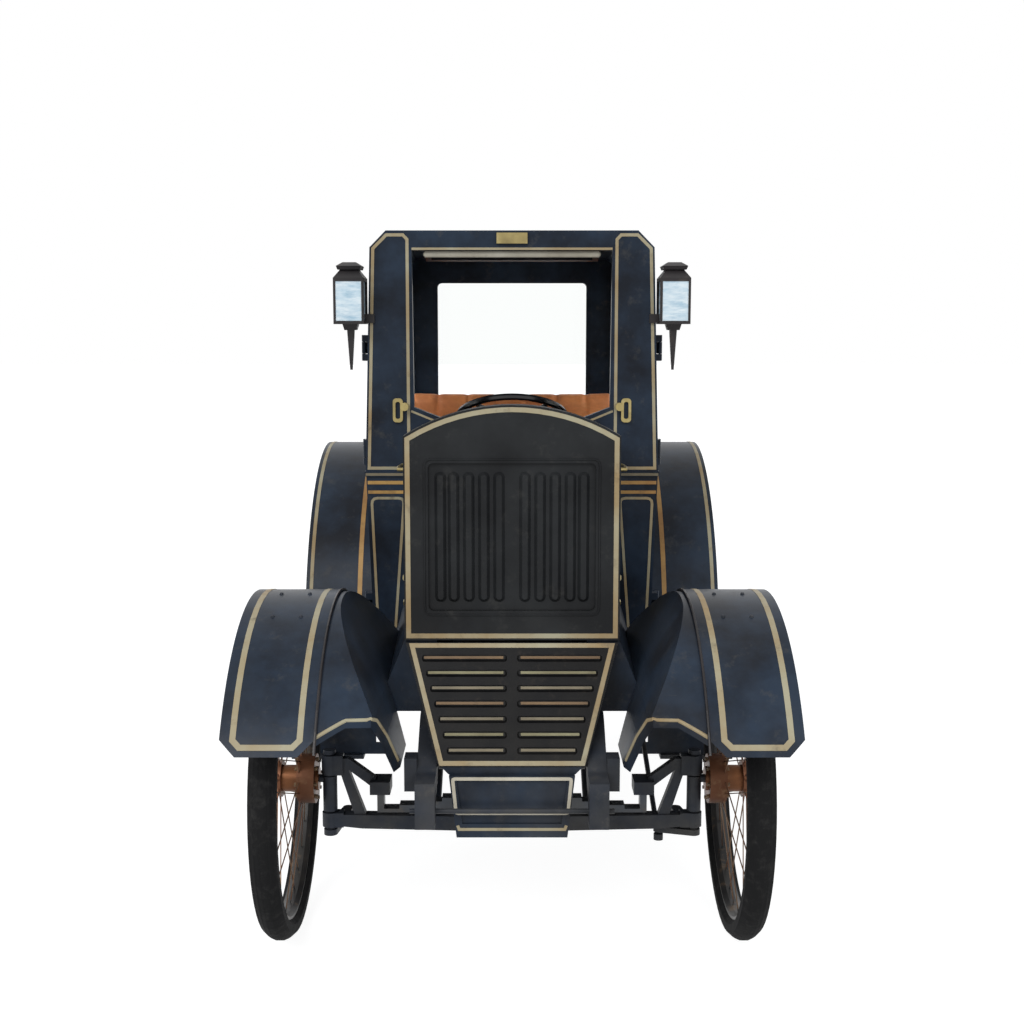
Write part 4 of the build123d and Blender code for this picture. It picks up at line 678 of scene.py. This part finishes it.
def apron_edge():
    """Beaded front edge of each mud apron, where the sheet runs back from the fender to the frame."""
    plan = ((0.498, -0.549), (0.425, -0.521), (0.360, -0.520), (0.330, -0.440), (0.300, -0.343))
    sheet = ((0.300, 0.600), (0.328, 0.712), (0.352, 0.779), (0.384, 0.838), (0.478, 1.000), (0.500, 1.060))

    def between(table, x):
        table = sorted(table)
        for (x0, v0), (x1, v1) in zip(table, table[1:]):
            if x <= x1:
                return v0 + (v1 - v0) * (x - x0) / (x1 - x0)
        return table[-1][1]

    for _, side in SIDES:
        path = []
        for k in range(19):
            x = 0.498 - (0.498 - 0.306) * k / 18
            y = FRONT_AXLE_Y + between(plan, x)
            over_wheel = FRONT_ARC[1] + math.sqrt(max(0.635**2 - (y - FRONT_ARC[0]) ** 2, 0))
            z = min(over_wheel, between(sheet, x))
            path.append((side * x, y + 0.004, z))
        tube("mud_apron_edges", "root", CREAM, path, 0.0052, 8)


nose_lining()
cowl_lining()
locker_lining()
cab_front_lining()
side_lining()
rear_lining()
fender_lining()
apron_edge()


# Fittings

def cab_fittings():
    """Folded screen's pale edge, handles, bonnet catches and the trim inside the doors."""
    front = CAB_FRONT_Y + 0.034
    low, high = (-0.300, front - 0.016, 2.006), (0.300, front - 0.003, 2.0255)
    plate("screen_edge", "root", PALE_TRIM, low, high, 0.004)
    knob = ((0, 0.016), (0.004, 0.016), (0.006, 0.008), (0.016, 0.007), (0.021, 0.011), (0.024, 0.006))
    middle = (BONNET_FRONT_Y + BONNET_REAR_Y) / 2
    handle = ((0, -0.07), (0.028, -0.062), (0.032, 0), (0.028, 0.062), (0, 0.07))
    for name, side in SIDES:
        catches, lid = "bonnet_catches_" + name, "bonnet_" + name
        for y in (BONNET_FRONT_Y + 0.16, BONNET_REAR_Y - 0.16):
            foot = (side * bonnet_skin(y) - side * 0.002, y, 0.965)
            turned(catches, lid, BRASS, foot, (side, 0, 0), knob, 16)
        x = side * bonnet_skin(middle)
        grip = [(x + side * out, middle + along, 1.345) for out, along in handle]
        tube(catches, lid, BRASS, grip, 0.006, 10)
        inner = side * 0.466
        low = (min(inner, inner - side * 0.012), DOOR_FRONT_Y + 0.05, 0.83)
        high = (max(inner, inner - side * 0.012), DOOR_REAR_Y - 0.30, 1.22)
        plate("door_card_" + name, "door_" + name, CLOTH_LINING, low, high, 0.006)


def fasteners_group():
    """Heads on a set of places: each place carries the way its head faces."""
    tree = bpy.data.node_groups.new("fastener_heads", "GeometryNodeTree")
    tree.interface.new_socket("Geometry", in_out="INPUT", socket_type="NodeSocketGeometry")
    inputs = (("Radius", "NodeSocketFloat", 0.005), ("Height", "NodeSocketFloat", 0.003),
              ("Sides", "NodeSocketInt", 8), ("Top Share", "NodeSocketFloat", 0.6),
              ("Finish", "NodeSocketMaterial", None))
    for name, kind, value in inputs:
        socket = tree.interface.new_socket(name, in_out="INPUT", socket_type=kind)
        if value is not None:
            socket.default_value = value
    tree.interface.new_socket("Geometry", in_out="OUTPUT", socket_type="NodeSocketGeometry")
    given, result = tree.nodes.new("NodeGroupInput"), tree.nodes.new("NodeGroupOutput")
    head = tree.nodes.new("GeometryNodeMeshCone")
    top = node(tree, "ShaderNodeMath", operation="MULTIPLY")
    points = tree.nodes.new("GeometryNodeMeshToPoints")
    facing = node(tree, "GeometryNodeInputNamedAttribute", data_type="FLOAT_VECTOR")
    facing.inputs["Name"].default_value = "facing"
    turn = node(tree, "FunctionNodeAlignRotationToVector", axis="Z")
    place = tree.nodes.new("GeometryNodeInstanceOnPoints")
    real = tree.nodes.new("GeometryNodeRealizeInstances")
    paint = tree.nodes.new("GeometryNodeSetMaterial")
    link = tree.links.new
    link(given.outputs["Sides"], head.inputs["Vertices"])
    link(given.outputs["Radius"], head.inputs["Radius Bottom"])
    link(given.outputs["Radius"], top.inputs[0])
    link(given.outputs["Top Share"], top.inputs[1])
    link(top.outputs[0], head.inputs["Radius Top"])
    link(given.outputs["Height"], head.inputs["Depth"])
    link(given.outputs["Geometry"], points.inputs["Mesh"])
    link(facing.outputs["Attribute"], turn.inputs["Vector"])
    link(points.outputs["Points"], place.inputs["Points"])
    link(head.outputs["Mesh"], place.inputs["Instance"])
    link(turn.outputs["Rotation"], place.inputs["Rotation"])
    link(place.outputs["Instances"], real.inputs["Geometry"])
    link(real.outputs["Geometry"], paint.inputs["Geometry"])
    link(given.outputs["Finish"], paint.inputs["Material"])
    link(paint.outputs["Geometry"], result.inputs["Geometry"])
    return tree


FASTENERS = fasteners_group()


def plain_mesh(piece):
    """Bakes a piece's modifiers into a plain mesh."""
    bpy.context.view_layer.update()
    graph = bpy.context.evaluated_depsgraph_get()
    baked = bpy.data.meshes.new_from_object(piece.evaluated_get(graph))
    piece.modifiers.clear()
    piece.data = baked


def fasteners(name, body, finish, places, radius, height, sides=10, top=0.55):
    """Rivets, screws or bolts: places are (place, way it faces)."""
    mesh = bpy.data.meshes.new(name)
    mesh.from_pydata([Vector(p) for p, _ in places], [], [])
    facing = mesh.attributes.new("facing", "FLOAT_VECTOR", "POINT")
    for i, (_, way) in enumerate(places):
        facing.data[i].vector = Vector(way).normalized()
    piece = shown(name, mesh)
    modifier = piece.modifiers.new("heads", "NODES")
    modifier.node_group = FASTENERS
    wanted = {"Radius": radius, "Height": height, "Sides": sides, "Top Share": top, "Finish": finish}
    for item in FASTENERS.interface.items_tree:
        if item.in_out == "INPUT" and item.name in wanted:
            modifier[item.identifier] = wanted[item.name]
    plain_mesh(piece)
    if "facing" in piece.data.attributes:
        piece.data.attributes.remove(piece.data.attributes["facing"])
    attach(piece, body)


def rivet_places():
    """Where the coachwork is riveted and screwed together, in rows."""
    places = []
    for _, side in SIDES:
        for x, angle in ((0.658, -1.5), (0.577, -1.5), (0.655, -17.5), (0.578, -17.5)):
            y, z, normal = arc_place(FRONT_ARC, math.radians(angle))
            places.append(((side * x, y, z), normal))
        for k in range(5):
            places.append(((side * 0.351, CAB_FRONT_Y - 0.02, 0.93 + 0.1 * k), (side, 0, 0)))
        for k in range(9):
            places.append(((side * (0.372 + 0.0265 * k / 8), -1.10 + 0.105 * k, 0.735), (side, 0, 0.35)))
        for k in range(8):
            places.append(((side * 0.455, CAB_FRONT_Y + 0.10 + 0.19 * k, 2.067), (side * 0.71, 0, 0.71)))
    for k in range(11):
        places.append(((-0.25 + 0.05 * k, CAB_REAR_Y, 2.045), (0, 1, 0)))
    return places


def chassis_places():
    """Rivets along the outside of the rails."""
    return [((side * 0.258, FRONT_AXLE_Y + 0.12 + 0.09 * k, 0.680), (side, 0, 0))
            for _, side in SIDES for k in range(24)]


def hub_places(side, y, radius, flange):
    """Ring of bolts on a hub's flange, on its inner and outer faces."""
    places = []
    for k in range(BOLTS):
        angle = 2 * math.pi * k / BOLTS
        z = radius + BOLT_CIRCLE * math.sin(angle)
        here = y + BOLT_CIRCLE * math.cos(angle)
        places.append(((side * (flange + FLANGE_WIDTH), here, z), (side, 0, 0)))
        places.append(((side * flange, here, z), (-side, 0, 0)))
    return places


cab_fittings()
for (group, body, finish), (points, faces) in gathered.items():
    name = group if group not in bpy.data.objects else group + "_" + finish.name
    mesh = bpy.data.meshes.new(name)
    mesh.from_pydata(points, [], faces)
    turned_out = bmesh.new()
    turned_out.from_mesh(mesh)
    bmesh.ops.recalc_face_normals(turned_out, faces=turned_out.faces[:])
    turned_out.to_mesh(mesh)
    turned_out.free()
    mesh.materials.append(finish)
    piece = shown(name, mesh)
    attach(piece, body)

fasteners("coachwork_rivets", "root", SLATE, rivet_places(), 0.0065, 0.005)
fasteners("chassis_rivets", "root", SLATE, chassis_places(), 0.007, 0.008)
WHEELS = (("front", FRONT_AXLE_Y, FRONT_RADIUS, 0.574), ("rear", REAR_AXLE_Y, REAR_RADIUS, 0.598))
for name, side in SIDES:
    for axle, y, radius, flange in WHEELS:
        fasteners(axle + "_hub_bolts_" + name, axle + "_wheel_" + name, BRONZE,
                  hub_places(side, y, radius, flange), 0.006, 0.008, 6, 0.9)


# Seat: padded leather on the box

def copied_solid(name, source, shrink):
    """Closed copy of a solid, drawn in by shrink on each side."""
    mesh = bpy.data.meshes.new(name)
    work = bmesh.new()
    work.from_mesh(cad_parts[source].data)
    bmesh.ops.remove_doubles(work, verts=work.verts[:], dist=0.0001)
    low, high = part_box(source)
    half = (high - low) / 2
    centre = (high + low) / 2
    for vertex in work.verts:
        for k in range(3):
            share = (half[k] - shrink[k]) / half[k]
            vertex.co[k] = centre[k] + (vertex.co[k] - centre[k]) * share
    work.to_mesh(mesh)
    work.free()
    return shown(name, mesh)


CHANNEL_WIDTH, CHANNEL_DEPTH = 0.011, 0.011
PAD_VOXEL, QUICK_VOXEL = 0.008, 0.02
SWELL_FRAMES = 20


def padded_leather(name, source, shrink, cap, seams, seam_way):
    """Stuffed leather pad: the solid's space, swollen by cloth, then drawn in along its sewn channels."""
    piece = copied_solid(name, source, shrink)
    remesh = piece.modifiers.new("even", "REMESH")
    remesh.mode = "VOXEL"
    remesh.voxel_size = PAD_VOXEL
    plain_mesh(piece)
    start = [v.co.copy() for v in piece.data.vertices]
    swell = piece.modifiers.new("swell", "CLOTH")
    swell.settings.use_pressure = True
    swell.settings.uniform_pressure_force = 4.0
    swell.settings.effector_weights.gravity = 0
    swell.settings.tension_stiffness = 25
    swell.settings.compression_stiffness = 25
    swell.point_cache.frame_start, swell.point_cache.frame_end = 1, SWELL_FRAMES
    scene = bpy.context.scene
    for step in range(1, SWELL_FRAMES + 1):
        scene.frame_set(step)
    plain_mesh(piece)
    scene.frame_set(1)
    mesh = piece.data
    low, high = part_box(source)
    for vertex, rest in zip(mesh.vertices, start):
        move = vertex.co - rest
        if move.length > cap:
            vertex.co = rest + move.normalized() * cap
        way = seam_way(vertex.co)
        draw = sum(math.exp(-(((vertex.co.x - x) / CHANNEL_WIDTH) ** 2)) for x in seams)
        vertex.co = vertex.co - Vector(way) * CHANNEL_DEPTH * draw
        for k in range(3):
            vertex.co[k] = min(max(vertex.co[k], low[k] - 0.002), high[k] + 0.006)
    smooth = piece.modifiers.new("fine", "SUBSURF")
    smooth.levels = smooth.render_levels = 1
    mesh.polygons.foreach_set("use_smooth", [True] * len(mesh.polygons))
    mesh.materials.clear()
    mesh.materials.append(LEATHER)
    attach(piece, "root")
    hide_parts(source)


def cushion_way(place):
    """Way that the cushion's channels face: up on its top, and a little forwards on its front."""
    return (0, -0.4 if place.y < -0.10 + FRONT_AXLE_Y + 1.62 else 0, 1 if place.z > 1.05 else 0)


def back_way(place):
    """Way that the seat back's channels face: forwards on its front, and a little up on its top."""
    return (0, -0.9 if place.y < FRONT_AXLE_Y + 1.93 else 0, 0.4 if place.z > 1.45 else 0)


channels = [-0.31 + 0.124 * k for k in range(6)]
padded_leather("seat_cushion_leather", "seat_cushion", (0.012, 0.012, 0.012), 0.018,
               channels, cushion_way)
padded_leather("seat_back_leather", "seat_back", (0.012, 0.010, 0.003), 0.016,
               channels, back_way)


# Setting: white surroundings, pale floor, soft light, and the camera

def seen_share(tree):
    """1 for rays from the camera, a reflection or glass, and 0 for the light on the car."""
    rays = tree.nodes.new("ShaderNodeLightPath")
    seen = combine(tree, "MAXIMUM", rays.outputs["Is Camera Ray"], rays.outputs["Is Glossy Ray"])
    return combine(tree, "MAXIMUM", seen, rays.outputs["Is Transmission Ray"])


def mix_shaders(tree, share, first, second):
    """The second shader where the share is 1, and the first where it is 0."""
    made = tree.nodes.new("ShaderNodeMixShader")
    for k, source in enumerate((share, first, second)):
        tree.links.new(source, made.inputs[k])
    return made.outputs[0]


def floor_finish():
    """Pale floor that reads as white but keeps the car's shadow."""
    material, tree, shader = blank_finish(
        "pale_floor", Base_Color=(0.8, 0.8, 0.8, 1), Roughness=0.9, Specular_IOR_Level=0.0
    )
    glow = node(tree, "ShaderNodeEmission", Color=(1, 1, 1, 1), Strength=0.905)
    shade = node(tree, "ShaderNodeBsdfDiffuse", Color=(0.30, 0.30, 0.30, 1))
    both = tree.nodes.new("ShaderNodeAddShader")
    tree.links.new(glow.outputs[0], both.inputs[0])
    tree.links.new(shade.outputs[0], both.inputs[1])
    chosen = mix_shaders(tree, seen_share(tree), shader.outputs[0], both.outputs[0])
    tree.links.new(chosen, tree.nodes["Material Output"].inputs["Surface"])
    return material


def white_surroundings():
    """White to the eye and in reflections, and a soft even light on the car."""
    world = bpy.data.worlds.new("studio")
    bpy.context.scene.world = world
    world.use_nodes = True
    tree = world.node_tree
    tree.nodes.clear()
    soft = node(tree, "ShaderNodeBackground", Color=(0.94, 0.97, 1, 1), Strength=0.62)
    white = node(tree, "ShaderNodeBackground", Color=(1, 1, 1, 1), Strength=1.0)
    out = tree.nodes.new("ShaderNodeOutputWorld")
    chosen = mix_shaders(tree, seen_share(tree), soft.outputs[0], white.outputs[0])
    tree.links.new(chosen, out.inputs["Surface"])


def soft_sun(name, strength, tilt, turn):
    """Wide sun, tilted from straight down and turned about the vertical, in degrees."""
    light = bpy.data.lights.new(name, "SUN")
    light.energy = strength
    light.angle = math.radians(35)
    shown(name, light).rotation_euler = (math.radians(tilt), 0, math.radians(turn))


floor_mesh = bpy.data.meshes.new("floor")
floor_mesh.from_pydata([(-40, -20, 0), (40, -20, 0), (40, 60, 0), (-40, 60, 0)], [], [(0, 1, 2, 3)])
floor_mesh.materials.append(floor_finish())
floor = shown("floor", floor_mesh)
white_surroundings()
soft_sun("key_light", 1.5, 52, -28)
soft_sun("fill_light", 0.5, 62, 40)

camera_data = bpy.data.cameras.new("camera")
camera_data.lens = 49.75
camera_data.sensor_width = 36
camera = shown("camera", camera_data)
camera.location = (0, -5.0644, 1.7758)
camera.rotation_euler = (math.radians(82.5), 0, 0)
scene = bpy.context.scene
scene.camera = camera
scene.view_settings.view_transform = "Standard"
